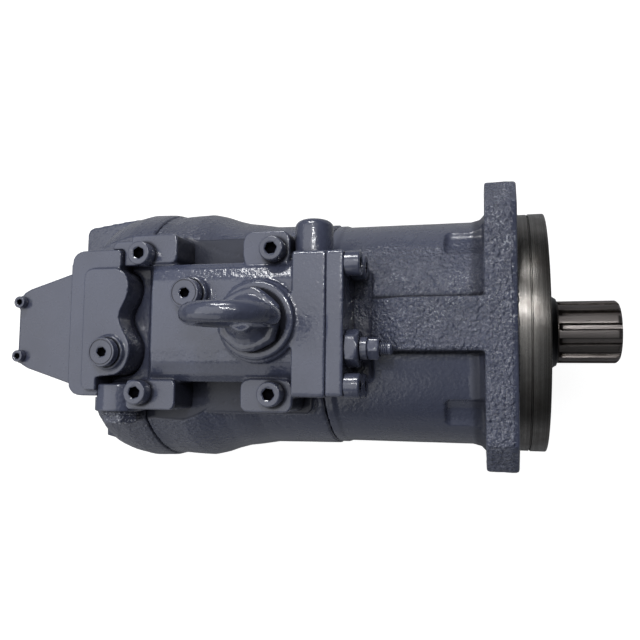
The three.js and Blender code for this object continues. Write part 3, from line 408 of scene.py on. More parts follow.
def grain(points, size, seed):
    """Smooth random field from -1 to 1 with lumps of about the given size. The large numbers only
    stir the bits of each cell's place and the seed."""
    within = points / size
    cell = np.floor(within).astype(np.int64)
    part = within - cell
    part = part * part * (3 - 2 * part)
    total = np.zeros(len(points))
    for corner in range(8):
        step = np.array([corner & 1, corner >> 1 & 1, corner >> 2 & 1])
        at = cell + step
        mixed = (at[:, 0] * 73856093) ^ (at[:, 1] * 19349663) ^ (at[:, 2] * 83492791)
        mixed = mixed ^ (seed * 2654435761)
        mixed = (mixed ^ (mixed >> 13)) * 1274126177 & 0xFFFFFFFF
        value = ((mixed ^ (mixed >> 16)) & 0xFFFF) / 32767.5 - 1
        weight = np.prod(np.where(step == 1, part, 1 - part), axis=1)
        total += value * weight
    return total


def new_piece(name, mesh, node_names, body, slot):
    """A finished piece that stands for the CAD nodes and rides on their body."""
    piece = bpy.data.objects.new(name, mesh)
    bpy.context.scene.collection.objects.link(piece)
    mesh.materials.clear()
    mesh.materials.append(MATERIALS[slot])
    mesh.polygons.foreach_set("use_smooth", [True] * len(mesh.polygons))
    mesh.update()
    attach(piece, body)
    for node in node_names:
        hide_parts(node)
    return piece


def evaluated_copy(obj):
    bpy.context.view_layer.update()
    graph = bpy.context.evaluated_depsgraph_get()
    return bpy.data.meshes.new_from_object(obj.evaluated_get(graph))


def melted(mesh, voxel, passes):
    """The mesh rebuilt from small cubes and relaxed, which rounds every edge as a casting's."""
    temporary = bpy.data.objects.new("temporary", mesh)
    bpy.context.scene.collection.objects.link(temporary)
    remesh = temporary.modifiers.new("remesh", "REMESH")
    remesh.mode = "VOXEL"
    remesh.voxel_size = voxel * MM * COARSE
    relax = temporary.modifiers.new("relax", "SMOOTH")
    relax.factor = 0.5
    relax.iterations = max(1, round(passes / COARSE))
    result = evaluated_copy(temporary)
    bpy.data.objects.remove(temporary)
    return result


# ------------------------------------------------------------------ castings

def snap_turned(points, profile, reach):
    """Moves points close to a turned profile, given as [x, radius] pairs, exactly on to it."""
    xs, radii = np.array(sorted(profile)).T
    radius = np.hypot(points[:, 1], points[:, 2])
    wanted = np.interp(points[:, 0], xs, radii)
    inside = (points[:, 0] > xs[0]) & (points[:, 0] < xs[-1])
    near = inside & (np.abs(radius - wanted) < reach)
    scale = np.where(near, wanted / np.maximum(radius, 1e-6), 1)
    points[:, 1] *= scale
    points[:, 2] *= scale


def snap_drum(points, axis, centre, radius, span, reach=0.45):
    """The same for one drum round a line along the axis; the centre is in the other two."""
    others = [i for i in range(3) if i != axis]
    offset = points[:, others] - np.array(centre)
    distance = np.hypot(offset[:, 0], offset[:, 1])
    along = (points[:, axis] > span[0]) & (points[:, axis] < span[1])
    near = (np.abs(distance - radius) < reach) & along
    scale = np.where(near, radius / np.maximum(distance, 1e-6), 1)
    for column, other in enumerate(others):
        points[:, other] = centre[column] + offset[:, column] * scale


def keep_inside(points, node):
    low, high = node_box(node)
    return np.clip(points, np.array(low), np.array(high))


def casting(node, voxel, passes, roughness, shape=None, painted_shade_and_oil=None, pale=None):
    """A cast copy of a CAD node: rounded edges, true round surfaces and a skin of small lumps."""
    mesh = melted(frame["nodes"][node].data.copy(), voxel, passes)
    points = to_flange(read_points(mesh))
    if shape:
        shape(points)
    rough = roughness(points)
    normals = read_normals(mesh)
    lumps = grain(points, 3.3, 5) * 0.14 + grain(points, 1.9, 9) * 0.10
    swell = grain(points, 14.0, 3) * 0.16
    points += normals * (lumps * rough ** 1.8 + swell * np.minimum(rough, 0.3))[:, None]
    points = keep_inside(points, node)
    write_points(mesh, to_frame(points))
    write_attribute(mesh, "cast", rough)
    if painted_shade_and_oil:
        write_attribute(mesh, "painted_shade_and_oil", painted_shade_and_oil(points, normals))
    if pale:
        write_attribute(mesh, "pale", pale(points))
    return new_piece(f"{node}_cast", mesh, [node], BODY_OF[node], slot_for(node))


def distance_to(points, centre):
    """The distance from an upright line through the centre, which is (x, y)."""
    return np.hypot(points[:, 0] - centre[0], points[:, 1] - centre[1])


def close_to(points, centre, inner, outer):
    """1 within the inner radius of that line, falling to 0 at the outer."""
    return 1 - smoothstep(distance_to(points, centre), inner, outer)


# The round outsides of the three big castings, as (x, radius).
FRONT_PROFILE = [(-127, 82), (-121, 82), (-119, 81), (-30, 81), (-24, 82.5), (-19.8, 87)]
REAR_PROFILE = [(-257, 95.2), (-251, 94.3), (-244, 94.8), (-228, 95.3), (-219, 93.2), (-210, 90),
                (-200, 87.3), (-190, 86), (-176, 83.7), (-127, 83)]
COVER_PROFILE = [(-320, 83), (-312, 85), (-300, 90), (-288, 94.5), (-275, 97), (-261, 96.5),
                 (-257, 95.5)]
PILOT_CORE = 83.6


def shape_front(points):
    """Trues the barrel and sinks the pilot's rim under the turned band that covers it."""
    snap_turned(points, FRONT_PROFILE, 0.7)
    radius = np.hypot(points[:, 1], points[:, 2])
    pilot = (points[:, 0] > 0.6) & (radius > 82)
    shrink = np.where(pilot, PILOT_CORE / np.maximum(radius, 1), 1)
    points[:, 1] *= shrink
    points[:, 2] *= shrink


def rough_front(points):
    """Rough on the flange's edge, the rib and the iron beside it; smooth on machined faces."""
    x, y, z = points.T
    towards_flange = smoothstep(x, -116, -100)
    beside_rib = smoothstep(-np.abs(y - 30), -34, -16)
    rough = 0.25 + 0.7 * towards_flange * beside_rib
    rib = (np.abs(y) < RIB_HALF + 1) & (z > RIB_FOOT)
    rough = np.where(rib | (x > FLANGE_BACK), 1.0, rough)
    face = smoothstep(x, -4.0, -1.0)
    joint = smoothstep(-x, 121, 124)
    return rough * (1 - face) * (1 - 0.7 * joint)


def painted_shade_front(points, normals):
    """Painted shade in the corners along the rib and behind the flange."""
    x, y, z = points.T
    beyond = np.abs(y) - RIB_HALF
    corner = smoothstep(beyond, -0.6, 0.4) * (1 - smoothstep(beyond, 1.6, 3.4))
    along_rib = corner * (x > -93) * (x < -20) * (z > 60)
    flare = smoothstep(x, -31, -26) * (x < -20.6) * (np.hypot(y, z) < 89) * (beyond > 0)
    return np.clip(0.75 * along_rib + 0.5 * flare, 0, 0.8)


def glints_front(points):
    """Painted glints on the roughest iron: the flange's edge, the rib and the casing beside it."""
    x, y, z = points.T
    edge = (x > FLANGE_BACK) * (x < -1.2) * (0.35 + 0.65 * smoothstep(y, -30, 25))
    rib = (np.abs(y) < RIB_HALF) * (z > RIB_FOOT) * smoothstep(y, -14, 6)
    beside = smoothstep(x, -95, -80) * smoothstep(-np.abs(y - 27), -14, -6)
    return 0.5 * np.maximum(np.maximum(edge, rib), 0.8 * beside)


def shape_rear(points):
    snap_turned(points, REAR_PROFILE, 0.8)


def rough_rear(points):
    """Rougher where the casing swells; smooth on the ledge under the regulator."""
    x, _, z = points.T
    return np.clip(0.3 + 0.35 * smoothstep(-x, 190, 235), 0, 1) * (1 - smoothstep(z, 68.5, 69.8))


def painted_shade_rear(points, normals):
    """Painted shade on the ledge under the regulator."""
    return 0.55 * smoothstep(points[:, 2], 68.8, 69.6)


def shape_cover(points):
    snap_turned(points, COVER_PROFILE, 0.8)


def rough_cover(points):
    return 0.45 + 0.4 * smoothstep(-points[:, 1], 40, 70)


Y, Z = 1, 2


def shape_regulator(points):
    snap_drum(points, Z, EYE_SEAT, 25, (110.5, 113.2))
    snap_drum(points, Z, EYE_SEAT, 27, (106.5, 109.4))
    snap_drum(points, Z, PORT_BOSS, 11.8, (107, 111.3))
    snap_drum(points, Y, SIDE_BOSS, 17, (-58.2, -41))


def rough_regulator(points):
    """Smoother on the eye's seat, the plug's boss and the tops of the ears, which are machined."""
    z = points[:, 2]
    seat = (distance_to(points, EYE_SEAT) < 25.5) & (z > 112.5)
    boss = (distance_to(points, PORT_BOSS) < 12.5) & (z > 110.5)
    ears = (z > 99) & (z < 100.5)
    return np.where(seat | boss | ears, 0.12, 0.26)


def painted_shade_regulator(points, normals):
    """Painted shade in the seats of the eye, the plug and the screws, and on the ears' forward
    walls, which face away from the light.
    """
    x, _, z = points.T
    seats = 0.9 * close_to(points, EYE_SEAT, 20.6, 21.4) * (z > 112)
    seats += 0.9 * close_to(points, PORT_BOSS, 10.3, 10.9) * (z > 110)
    screws = np.zeros(len(points))
    for index in range(1, 5):
        screws += close_to(points, centre_of(f"regulator_screw_{index}"), 8.6, 10.4) * (z > 98)
    walls = smoothstep(normals[:, 0], 0.6, 0.9) * (z < 98.5) * (x < -139)
    return np.clip(seats + 0.8 * screws + 0.6 * walls, 0, 1)


def painted_shade_pilot(points, normals):
    """Painted shade in the seat of the pilot cover's plug."""
    return 0.9 * close_to(points, PILOT_BOSS, 10.3, 10.9) * (points[:, 2] > 101)


def rough_plain(points):
    return np.full(len(points), 0.2)


# Node, the cubes' size in millimetres, smoothing passes, then what shapes and marks the piece.
casting("front_casing", 1.25, 6, rough_front, shape_front, painted_shade_front, glints_front)
casting("rear_casing", 1.4, 6, rough_rear, shape_rear, painted_shade_rear)
casting("end_cover", 1.25, 8, rough_cover, shape_cover)
casting("regulator_casing", 0.9, 7, rough_regulator, shape_regulator, painted_shade_regulator)
casting("regulator_end_plate", 0.9, 4, rough_plain)
casting("pilot_cover", 0.8, 5, rough_plain, painted_shade_and_oil=painted_shade_pilot)
casting("rear_cap", 0.9, 4, rough_plain)


# ------------------------------------------------------------------ turned and hexagon fittings

ROUND = 0.0
HEX = 1.0


def hex_factor(angle):
    """Distance to the side of a hexagon over its inscribed radius."""
    sixth = math.pi / 3
    return 1 / math.cos((angle % sixth) - sixth / 2)


def quads_between(start, next_start, steps):
    """Faces from one ring of points to the next."""
    faces = []
    for i in range(steps):
        j = (i + 1) % steps
        faces.append((start + i, start + j, next_start + j, next_start + i))
    return faces


def spun_points(rings, steps):
    points = []
    for height, radius, hexness in rings:
        for i in range(steps):
            angle = 2 * math.pi * i / steps
            corner = min(hex_factor(angle), 1.135)
            reach = radius * (1 + hexness * (corner - 1))
            points.append((reach * math.cos(angle), reach * math.sin(angle), height))
    return points


def spun(name, rings, steps=96, dark=0):
    """A closed body round the z axis from (height, radius, hexness) rings. Its ends close on the
    axis. The last 'dark' rings are the inside of a socket, which gets painted shade."""
    inner = rings[1:-1]
    points = spun_points(inner, steps)
    faces = []
    for ring in range(len(inner) - 1):
        faces += quads_between(ring * steps, (ring + 1) * steps, steps)
    first, last = len(points), len(points) + 1
    points += [(0, 0, rings[0][0]), (0, 0, rings[-1][0])]
    top = (len(inner) - 1) * steps
    for i in range(steps):
        j = (i + 1) % steps
        faces.append((first, j, i))
        faces.append((last, top + i, top + j))
    mesh = new_mesh(name, points, faces)
    painted_shade_and_oil = np.zeros(len(points))
    # The socket's inside gets painted shade, near black.
    if dark:
        painted_shade_and_oil[(len(inner) - dark) * steps:] = 1
        painted_shade_and_oil[first] = 0
    write_attribute(mesh, "painted_shade_and_oil", painted_shade_and_oil)
    return mesh


def arc(height, radius, size, start, end, count=5, hexness=ROUND):
    """Rings along a quarter-round edge of the given size; angles in degrees, 0 pointing outward."""
    rings = []
    for i in range(count + 1):
        angle = math.radians(start + (end - start) * i / count)
        rings.append((height + size * math.sin(angle), radius + size * math.cos(angle), hexness))
    return rings


AXIS_TURN = {
    "z": Matrix.Identity(3),
    "x": Matrix(((0, 0, 1), (0, 1, 0), (-1, 0, 0))),
    "y": Matrix(((1, 0, 0), (0, 0, 1), (0, -1, 0))),
    "-y": Matrix(((1, 0, 0), (0, 0, -1), (0, 1, 0))),
}


def set_down(mesh, axis, origin, turn=0.0):
    """Puts a mesh drawn on the z axis at its place in the frame, turned round its own axis first."""
    points = read_points(mesh)
    spin = np.array(Matrix.Rotation(math.radians(turn), 3, "Z"))
    points = points @ spin.T @ np.array(AXIS_TURN[axis]).T + np.array(origin)
    write_points(mesh, to_frame(points))
    return mesh


def fitting(node, mesh, suffix="fine", rough=0.15, lump=0.03):
    """A finished fitting with a thin uneven coat of paint, kept inside its CAD node's box."""
    points = to_flange(read_points(mesh))
    points += read_normals(mesh) * (grain(points, 2.4, 21) * lump)[:, None]
    write_points(mesh, to_frame(keep_inside(points, node)))
    write_attribute(mesh, "cast", np.full(len(points), rough))
    return new_piece(f"{node}_{suffix}", mesh, [node], BODY_OF[node], slot_for(node))


def socket(top, flat_radius, depth, rim):
    """Rings of a hexagon socket, from the head's top edge down to its drilled point."""
    return [
        (top, flat_radius * 1.155 + rim, ROUND),
        (top - 0.12, flat_radius * 1.155 + rim * 0.45, ROUND),
        (top - 0.5, flat_radius * 1.02, 0.8),
        (top - 0.9, flat_radius, HEX),
        (top - depth * 0.5, flat_radius, HEX),
        (top - depth, flat_radius, HEX),
        (top - depth - 0.2, flat_radius * 0.9, HEX),
        (top - depth - 1.2, 0, ROUND),
    ]


def cap_screw_rings(shank, head, height, length, key):
    """A socket cap screw, its head's seat at height 0. Shank and head are radii."""
    edge = min(1.1, head * 0.14)
    rings = [(-length, 0, ROUND), (-length, shank - 0.8, ROUND), (-length + 0.8, shank, ROUND),
             (-0.6, shank, ROUND), (0, shank + 0.4, ROUND), (0, head - 0.5, ROUND),
             (0.5, head, ROUND)]
    rings += arc(height - edge, head - edge, edge, 0, 90)
    return rings + socket(height, key, height * 0.55, 0.35)


def cap_screws(family, count, axis, shank, head, height, key, turn):
    """Cap screws whose heads end at the far side of their nodes' boxes along x or z. The turn is
    how many degrees each socket is turned from the one before."""
    column = "xyz".index(axis)
    for index in range(1, count + 1):
        screw = f"{family}_{index}"
        low, high = node_box(screw)
        seat = list(centre_of(screw))
        seat[column] = high[column] - height
        length = high[column] - height - low[column]
        mesh = spun(screw, cap_screw_rings(shank, head, height, length, key), dark=4)
        set_down(mesh, axis, seat, turn=turn * index)
        fitting(screw, mesh)


# Regulator screws stand on the ears; plate screws point back into the regulator.
cap_screws("regulator_screw", 4, "z", 5, 8, 10, 3.6, 17)
cap_screws("end_plate_screw", 4, "x", 5, 8, 10, 3.6, 23)
cap_screws("rear_cap_screw", 2, "z", 2.5, 4.3, 5, 2.05, 31)


def plug_rings(head, height, stem, length, key):
    """A flush plug: a stem, a dark undercut, and a collar with a fine groove and a socket."""
    rings = [(-length, 0, ROUND), (-length, stem - 1, ROUND), (-length + 1, stem, ROUND),
             (0.05, stem, ROUND), (0.05, head - 1.3, ROUND), (1.1, head - 1.3, ROUND),
             (1.4, head, ROUND)]
    rings += arc(height - 0.7, head - 0.7, 0.7, 0, 90)
    rings += [(height, head - 1.1, ROUND), (height - 0.45, head - 1.25, ROUND),
              (height - 0.45, head - 1.75, ROUND), (height, head - 1.95, ROUND),
              (height - 0.15, head - 3, ROUND)]
    return rings + socket(height - 0.2, key, 5.5, 0.5)


PLUG_STEM_LENGTH = 12

for plug in ["port_plug", "pilot_plug"]:
    low, high = node_box(plug)
    middle = centre_of(plug)
    height = high.z - low.z - PLUG_STEM_LENGTH
    mesh = spun(plug, plug_rings(9.8, height, 7, PLUG_STEM_LENGTH, 3.0), dark=4)
    set_down(mesh, "z", (middle.x, middle.y, high.z - height), turn=12)
    fitting(plug, mesh)


# The plug on the near side: a stem, a washer face and a hexagon.
low, high = node_box("side_plug")
middle = centre_of("side_plug")
length = high.y - low.y
washer = length - 8.6
rings = [(0, 0, ROUND), (0, 6.8, ROUND), (0.8, 7.5, ROUND), (washer - 0.05, 7.5, ROUND),
         (washer, 11.9, ROUND), (washer + 0.5, 12.5, ROUND), (washer + 1.9, 12.5, ROUND),
         (washer + 2.5, 12.0, ROUND), (washer + 2.5, 10.9, 0.6), (washer + 2.7, 10.9, HEX),
         (length - 1.5, 10.95, HEX), (length - 0.8, 10.95, 0.5), (length, 10.2, ROUND),
         (length - 0.25, 9.2, ROUND), (length - 0.3, 0, ROUND)]
mesh = spun("side_plug", rings)
set_down(mesh, "-y", (middle.x, high.y, middle.z))
# Painted glints: the plug's paint gets many bright specks.
write_attribute(mesh, "pale", np.full(len(mesh.vertices), 0.9))
fitting("side_plug", mesh, rough=1.0, lump=0.10)

# The cap on the far side: a stem, a grooved collar and a domed end.
low, high = node_box("side_cap")
middle = centre_of("side_cap")
length = high.y - low.y
face = length - 27.5
DOME = 5.0
rings = [(0, 0, ROUND), (0, 7.4, ROUND), (0.6, 8, ROUND), (face - 0.02, 8, ROUND),
         (face, 12.0, ROUND), (face + 0.7, 12.7, ROUND), (face + 3.2, 12.7, ROUND),
         (face + 3.6, 12.2, ROUND), (face + 4.6, 12.2, ROUND), (face + 5.0, 12.7, ROUND),
         (length - DOME, 12.7, ROUND)]
for degrees in range(10, 91, 10):
    bend = math.radians(degrees)
    rings.append((length - DOME + DOME * math.sin(bend), 6.2 + 6.4 * math.cos(bend), ROUND))
rings += [(length, 3.0, ROUND), (length, 0, ROUND)]
mesh = spun("side_cap", rings)
set_down(mesh, "y", (middle.x, low.y, middle.z))
fitting("side_cap", mesh, rough=0.3, lump=0.05)


def holed(name, outer_rings, bore_radius, steps=96):
    """A closed ring-shaped body: the outer rings, then back down a round hole."""
    low, high = outer_rings[0][0], outer_rings[-1][0]
    loop = outer_rings + [(high, bore_radius + 0.3, ROUND), (high - 0.3, bore_radius, ROUND),
                          (low + 0.3, bore_radius, ROUND), (low, bore_radius + 0.3, ROUND)]
    faces = []
    for ring in range(len(loop)):
        faces += quads_between(ring * steps, (ring + 1) % len(loop) * steps, steps)
    return new_mesh(name, spun_points(loop, steps), faces)


low, high = node_box("adjuster_hex")
middle = centre_of("adjuster_hex")
length = high.x - low.x
rings = [(0, 11.6, ROUND), (0.5, 12.0, 0.7), (1.0, 12.0, HEX), (length - 2.2, 12.0, HEX),
         (length - 1.2, 12.0, 0.5), (length - 0.5, 11.9, 0.12), (length, 11.2, ROUND)]
mesh = holed("adjuster_hex", rings, 4.8)
set_down(mesh, "x", (low.x, middle.y, middle.z), turn=30)
fitting("adjuster_hex", mesh, rough=0.3, lump=0.05)

low, high = node_box("adjuster_lock_nut")
middle = centre_of("adjuster_lock_nut")
length = high.x - low.x
nut = length - 7.5
rings = [(0, 7.0, ROUND), (0.4, 7.4, ROUND), (nut - 0.5, 7.4, ROUND), (nut - 0.1, 7.0, ROUND),
         (nut, 6.2, ROUND), (nut + 0.6, 6.45, 0.5), (nut + 1.1, 6.5, HEX),
         (length - 1.1, 6.5, HEX), (length - 0.6, 6.45, 0.5), (length, 6.0, ROUND)]
mesh = holed("adjuster_lock_nut", rings, 4.7)
set_down(mesh, "x", (low.x, middle.y, middle.z), turn=12)
fitting("adjuster_lock_nut", mesh, rough=0.2, lump=0.03)


def threaded_rings(start, end, major, pitch, depth):
    """Thread crests one pitch apart, as closed ridges."""
    rings = []
    height = start
    while height + pitch < end:
        rings += [(height, major - depth, ROUND), (height + pitch * 0.42, major, ROUND),
                  (height + pitch * 0.58, major, ROUND)]
        height += pitch
    return rings


# The adjusting screw: a foot for the spring, a thread and a hexagon socket.
low, high = node_box("adjusting_screw")
middle = centre_of("adjusting_screw")
length = high.x - low.x
rings = [(0, 0, ROUND), (0, 4.9, ROUND), (0.4, 5.3, ROUND), (3.4, 5.3, ROUND),
         (4.0, 4.9, ROUND), (4.0, 3.9, ROUND)]
rings += threaded_rings(6, length - 1.6, 4.0, 1.25, 0.55)
rings += [(length - 1.3, 3.9, ROUND), (length - 0.3, 3.1, ROUND), (length, 2.6, ROUND),
          (length - 0.1, 2.2, 0.6), (length - 0.3, 1.9, HEX), (length - 3.2, 1.9, HEX),
          (length - 3.8, 0, ROUND)]
mesh = spun("adjusting_screw", rings, 72)
set_down(mesh, "x", (low.x, middle.y, middle.z))
fitting("adjusting_screw", mesh, rough=0.15, lump=0.02)


# ------------------------------------------------------------------ lifting eye

def torus_mesh(centre, ring_radius, tube, steps=120, sides=40):
    """The eye's ring, in a plane along the shaft's axis and up."""
    points, faces = [], []
    for i in range(steps):
        around = 2 * math.pi * i / steps
        for j in range(sides):
            tilt = 2 * math.pi * j / sides
            reach = ring_radius + tube * math.cos(tilt)
            points.append((centre[0] + reach * math.cos(around), centre[1] + tube * math.sin(tilt),
                           centre[2] + reach * math.sin(around)))
            a, b = i * sides, (i + 1) % steps * sides
            k = (j + 1) % sides
            faces.append((a + j, b + j, b + k, a + k))
    return framed_mesh("eye_ring", points, faces)


def merged(meshes):
    """Several meshes in one, without joining their surfaces."""
    points, faces, start = [], [], 0
    for mesh in meshes:
        points += [tuple(v.co) for v in mesh.vertices]
        faces += [tuple(start + i for i in polygon.vertices) for polygon in mesh.polygons]
        start = len(points)
    return new_mesh("merged", points, faces)


low, high = node_box("lifting_eye")
middle = centre_of("lifting_eye")
EYE_TUBE = 6.2
EYE_RING = (high.x - low.x) / 2 - EYE_TUBE
EYE_SEAT_Z = 114
collar = spun("collar", [(-13, 0, ROUND), (-13, 5.2, ROUND), (-12.2, 6, ROUND), (0, 6, ROUND),
                         (0, 19.4, 0.55), (0.7, 20, 0.6), (4.4, 20, 0.6), (6, 18.2, 0.4),
                         (6.2, 15.5, ROUND), (9, 12.6, ROUND), (13, 10, ROUND), (17, 8.4, ROUND),
                         (17, 0, ROUND)])
set_down(collar, "z", (middle.x, middle.y, EYE_SEAT_Z), turn=22)
ring_mesh = torus_mesh((middle.x, middle.y, high.z - EYE_TUBE - EYE_RING), EYE_RING, EYE_TUBE)
eye = melted(merged([collar, ring_mesh]), 0.7, 5)
fitting("lifting_eye", eye, "forged", rough=0.2, lump=0.12)


# ------------------------------------------------------------------ springs

def coil_mesh(start, end, coil_radius, wire, turns, centre, steps=40, sides=12):
    """A wound wire along the x axis whose two ends are cut flat."""
    count = turns * steps + 1
    lead = (end - start) / (2 * math.pi * turns * coil_radius)
    points, faces = [], []
    for i in range(count):
        angle = 2 * math.pi * i / steps
        x = start + (end - start) * i / (count - 1)
        out = np.array([0, math.cos(angle), math.sin(angle)])
        along = np.array([lead, -math.sin(angle), math.cos(angle)])
        side = np.cross(along / np.linalg.norm(along), out)
        middle = np.array([x, centre.y, centre.z]) + coil_radius * out
        for j in range(sides):
            turn = 2 * math.pi * j / sides
            points.append(middle + wire * (math.cos(turn) * out + math.sin(turn) * side))
    for i in range(count - 1):
        a, b = i * sides, (i + 1) * sides
        for j in range(sides):
            k = (j + 1) % sides
            faces.append((a + j, a + k, b + k, b + j))
    last = (count - 1) * sides
    faces.append(tuple(reversed(range(sides))))
    faces.append(tuple(range(last, last + sides)))
    return framed_mesh("coil", points, faces)


def spring(node, wire, turns):
    """A coil that fills its CAD node's box, with wire of the given radius."""
    low, high = node_box(node)
    coil_radius = (high.z - low.z) / 2 - wire - 0.05
    mesh = coil_mesh(low.x + wire, high.x - wire, coil_radius, wire - 0.05, turns, centre_of(node))
    return new_piece(f"{node}_wound", mesh, [node], BODY_OF[node], slot_for(node))


# The spool's spring stands on its seat and gets a mesh of its own.
spring("barrel_spring", 1.7, 4)
spool_spring = spring("spool_spring", 0.7, 6)
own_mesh(spool_spring)


# ------------------------------------------------------------------ seal cover and drive shaft

def turned_body(name, outline, steps):
    """A closed body turned round the x axis, from [x, radius] pairs that form a closed loop."""
    points, faces = [], []
    count = len(outline)
    for i in range(steps):
        angle = 2 * math.pi * i / steps
        for x, radius in outline:
            points.append((x, radius * math.cos(angle), radius * math.sin(angle)))
        a, b = i * count, (i + 1) % steps * count
        for j in range(count):
            k = (j + 1) % count
            faces.append((a + j, b + j, b + k, a + k))
    return framed_mesh(name, points, faces)


low, high = node_box("seal_cover")
RIM = high.y
COVER_FACE = 19.8
cover_outline = [
    # back, with its spigot, and the rim up to the face
    (2, 38), (2, 44.7), (7.9, 44.7), (8, 45), (8, 82.6), (8.2, 83.2), (8.7, 83.2),
    (8.8, RIM - 0.3), (9.1, RIM), (COVER_FACE - 0.9, RIM), (COVER_FACE - 0.25, RIM - 0.35),
    # face, with a fine groove
    (COVER_FACE, RIM - 1.1), (COVER_FACE, 76), (COVER_FACE - 0.25, 75.7), (COVER_FACE - 0.25, 75.1),
    (COVER_FACE, 74.8), (COVER_FACE, 60), (COVER_FACE, 50), (COVER_FACE, 41),
    (COVER_FACE + 0.1, 39.5),
    # hub, which flares into the face
    (20.4, 37), (21.2, 34), (22.3, 31), (23.6, 28.2), (24.8, 26.6), (26.2, 25.2), (27.4, 24.5),
    (28.1, 24.1), (28.3, 23.8), (28.3, 22.9), (28, 22.6),
    # bore and the pocket of the shaft's seal
    (16, 22.6), (16, 36), (4, 36), (4, 38),
]
mesh = turned_body("seal_cover", cover_outline, 256)
hub_radius = np.hypot(*to_flange(read_points(mesh))[:, 1:].T)
write_attribute(mesh, "painted_shade_and_oil", 1 - smoothstep(hub_radius, 34, 40))
new_piece("seal_cover_turned", mesh, ["seal_cover"], BODY_OF["seal_cover"], "machined_steel")


# The flange's pilot is turned bright, unlike the painted casing that it belongs to.
BAND_BORE = 84.2
band = [(0.05, BAND_BORE), (0.05, RIM - 0.5), (0.5, RIM - 0.2), (7.7, RIM - 0.2),
        (7.95, RIM - 0.5), (7.95, BAND_BORE)]
band_mesh = turned_body("pilot_band", band, 256)
new_piece("pilot_band_turned", band_mesh, [], BODY_OF["front_casing"], "machined_steel")


# Grooves run from start to tip. Root and outside are radii; foot and mouth are a groove's half
# width at its root and at the surface.
SPLINE = {"teeth": 13, "start": 29.0, "tip": 70.5, "root": 19.4, "outside": 22.2,
          "foot": 1.7, "mouth": 2.9}
FIRST_GROOVE = math.radians(6)


def from_groove(angle):
    """How far along the shaft's surface the nearest groove's middle is, in millimetres."""
    pitch = 2 * math.pi / SPLINE["teeth"]
    return abs((angle - FIRST_GROOVE + pitch / 2) % pitch - pitch / 2) * SPLINE["outside"]


def spline_radius(x, outside, angle):
    """The splined bar's radius at one place round the shaft."""
    across = from_groove(angle)
    climb = (SPLINE["outside"] + 1 - SPLINE["root"]) / (SPLINE["mouth"] - SPLINE["foot"])
    floor = SPLINE["root"] + max(0.0, across - SPLINE["foot"]) * climb
    runout = max(0.0, SPLINE["start"] + 3 - x)
    floor += runout * runout * 0.35
    return min(outside, floor)


def spline_oil_and_shade(x, angle):
    """Oil on the plain part, painted shadow at the grooves' blind ends, and dark lines along the
    foot of each tooth.
    """
    across = from_groove(angle)
    if x < SPLINE["start"] + 0.1:
        return 0.85 if x > 20 else 0.0
    foot = math.exp(-((across - 2.05) / 0.42) ** 2)
    blind = max(0.0, 1 - (x - SPLINE["start"]) / 4) if across < 2.6 else 0.0
    return min(1.0, foot + blind)


SHAFT_STEPS = SPLINE["teeth"] * 22
SHAFT_BACK = -283


def shaft_stations():
    """The shaft's outline as (x, radius) pairs from its splined end to its back end."""
    tip, start, outside = SPLINE["tip"], SPLINE["start"], SPLINE["outside"]
    stations = [(tip, 19.4), (tip - 0.25, 20.2), (tip - 1.6, 21.6), (tip - 2.6, outside),
                (tip - 3.4, outside)]
    stations += [(x, outside) for x in np.linspace(tip - 6, start + 3, 12)]
    stations += [(x, outside) for x in np.linspace(start + 2.5, start, 6)]
    # plain part, then the front bearing's seat and its shoulder
    stations += [(start - 0.3, outside), (27, outside), (15, outside), (4.4, outside),
                 (4, outside + 0.3), (4, 27.0), (3.5, 27.5), (-51.5, 27.5), (-52, 28),
                 (-52, 29.5), (-52.5, 30), (-57.5, 30), (-58, 29.5), (-58, 21.4)]
    # through the cylinder block to the rear bearing
    stations += [(-58.5, 21), (-187, 21), (-187, 20), (-252, 20), (-252, 17.9), (-252.4, 17.5),
                 (-282.2, 17.5), (SHAFT_BACK, 16.8)]
    return stations


def shaft_bar():
    """The shaft's outside, open at both ends: points, oil and painted shade, faces and the number of
    rings.
    """
    steps = SHAFT_STEPS
    stations = shaft_stations()
    points, oil_and_shade = [], []
    for x, outside_here in stations:
        for i in range(steps):
            angle = 2 * math.pi * i / steps
            radius = outside_here
            if x > SPLINE["start"] - 0.2:
                radius = spline_radius(x, outside_here, angle)
            oil_and_shade.append(spline_oil_and_shade(x, angle))
            points.append((x, radius * math.sin(angle), radius * math.cos(angle)))
    faces = []
    for ring in range(len(stations) - 1):
        a, b = ring * steps, (ring + 1) * steps
        for i in range(steps):
            j = (i + 1) % steps
            faces.append((a + i, b + i, b + j, a + j))
    return points, oil_and_shade, faces, len(stations)


def drive_shaft():
    """The shaft, with a chamfered drill centre in its end."""
    points, oil_and_shade, faces, count = shaft_bar()
    steps, tip = SHAFT_STEPS, SPLINE["tip"]
    rings = [(tip, 9.0), (tip - 0.1, 8.6), (tip - 0.1, 4.6), (tip - 0.5, 4.2), (tip - 3.2, 1.8),
             (tip - 6, 1.7)]
    before = 0
    for x, radius in rings:
        here = len(points)
        for i in range(steps):
            angle = 2 * math.pi * i / steps
            points.append((x, radius * math.sin(angle), radius * math.cos(angle)))
            # Painted shade inside the drill centre.
            oil_and_shade.append(0.6 if radius < 5 else 0.1)
        faces += quads_between(before, here, steps)
        before = here
    centre = len(points)
    points += [(tip - 7, 0, 0), (SHAFT_BACK, 0, 0)]
    oil_and_shade += [1.0, 0.0]
    back = (count - 1) * steps
    for i in range(steps):
        j = (i + 1) % steps
        faces.append((before + i, before + j, centre))
        faces.append((back + j, back + i, centre + 1))
    mesh = framed_mesh("drive_shaft", points, faces)
    write_attribute(mesh, "groove", oil_and_shade)
    return mesh


SHAFT_BODY = BODY_OF["drive_shaft"]
new_piece("drive_shaft_splined", drive_shaft(), ["drive_shaft"], SHAFT_BODY, "shaft_steel")

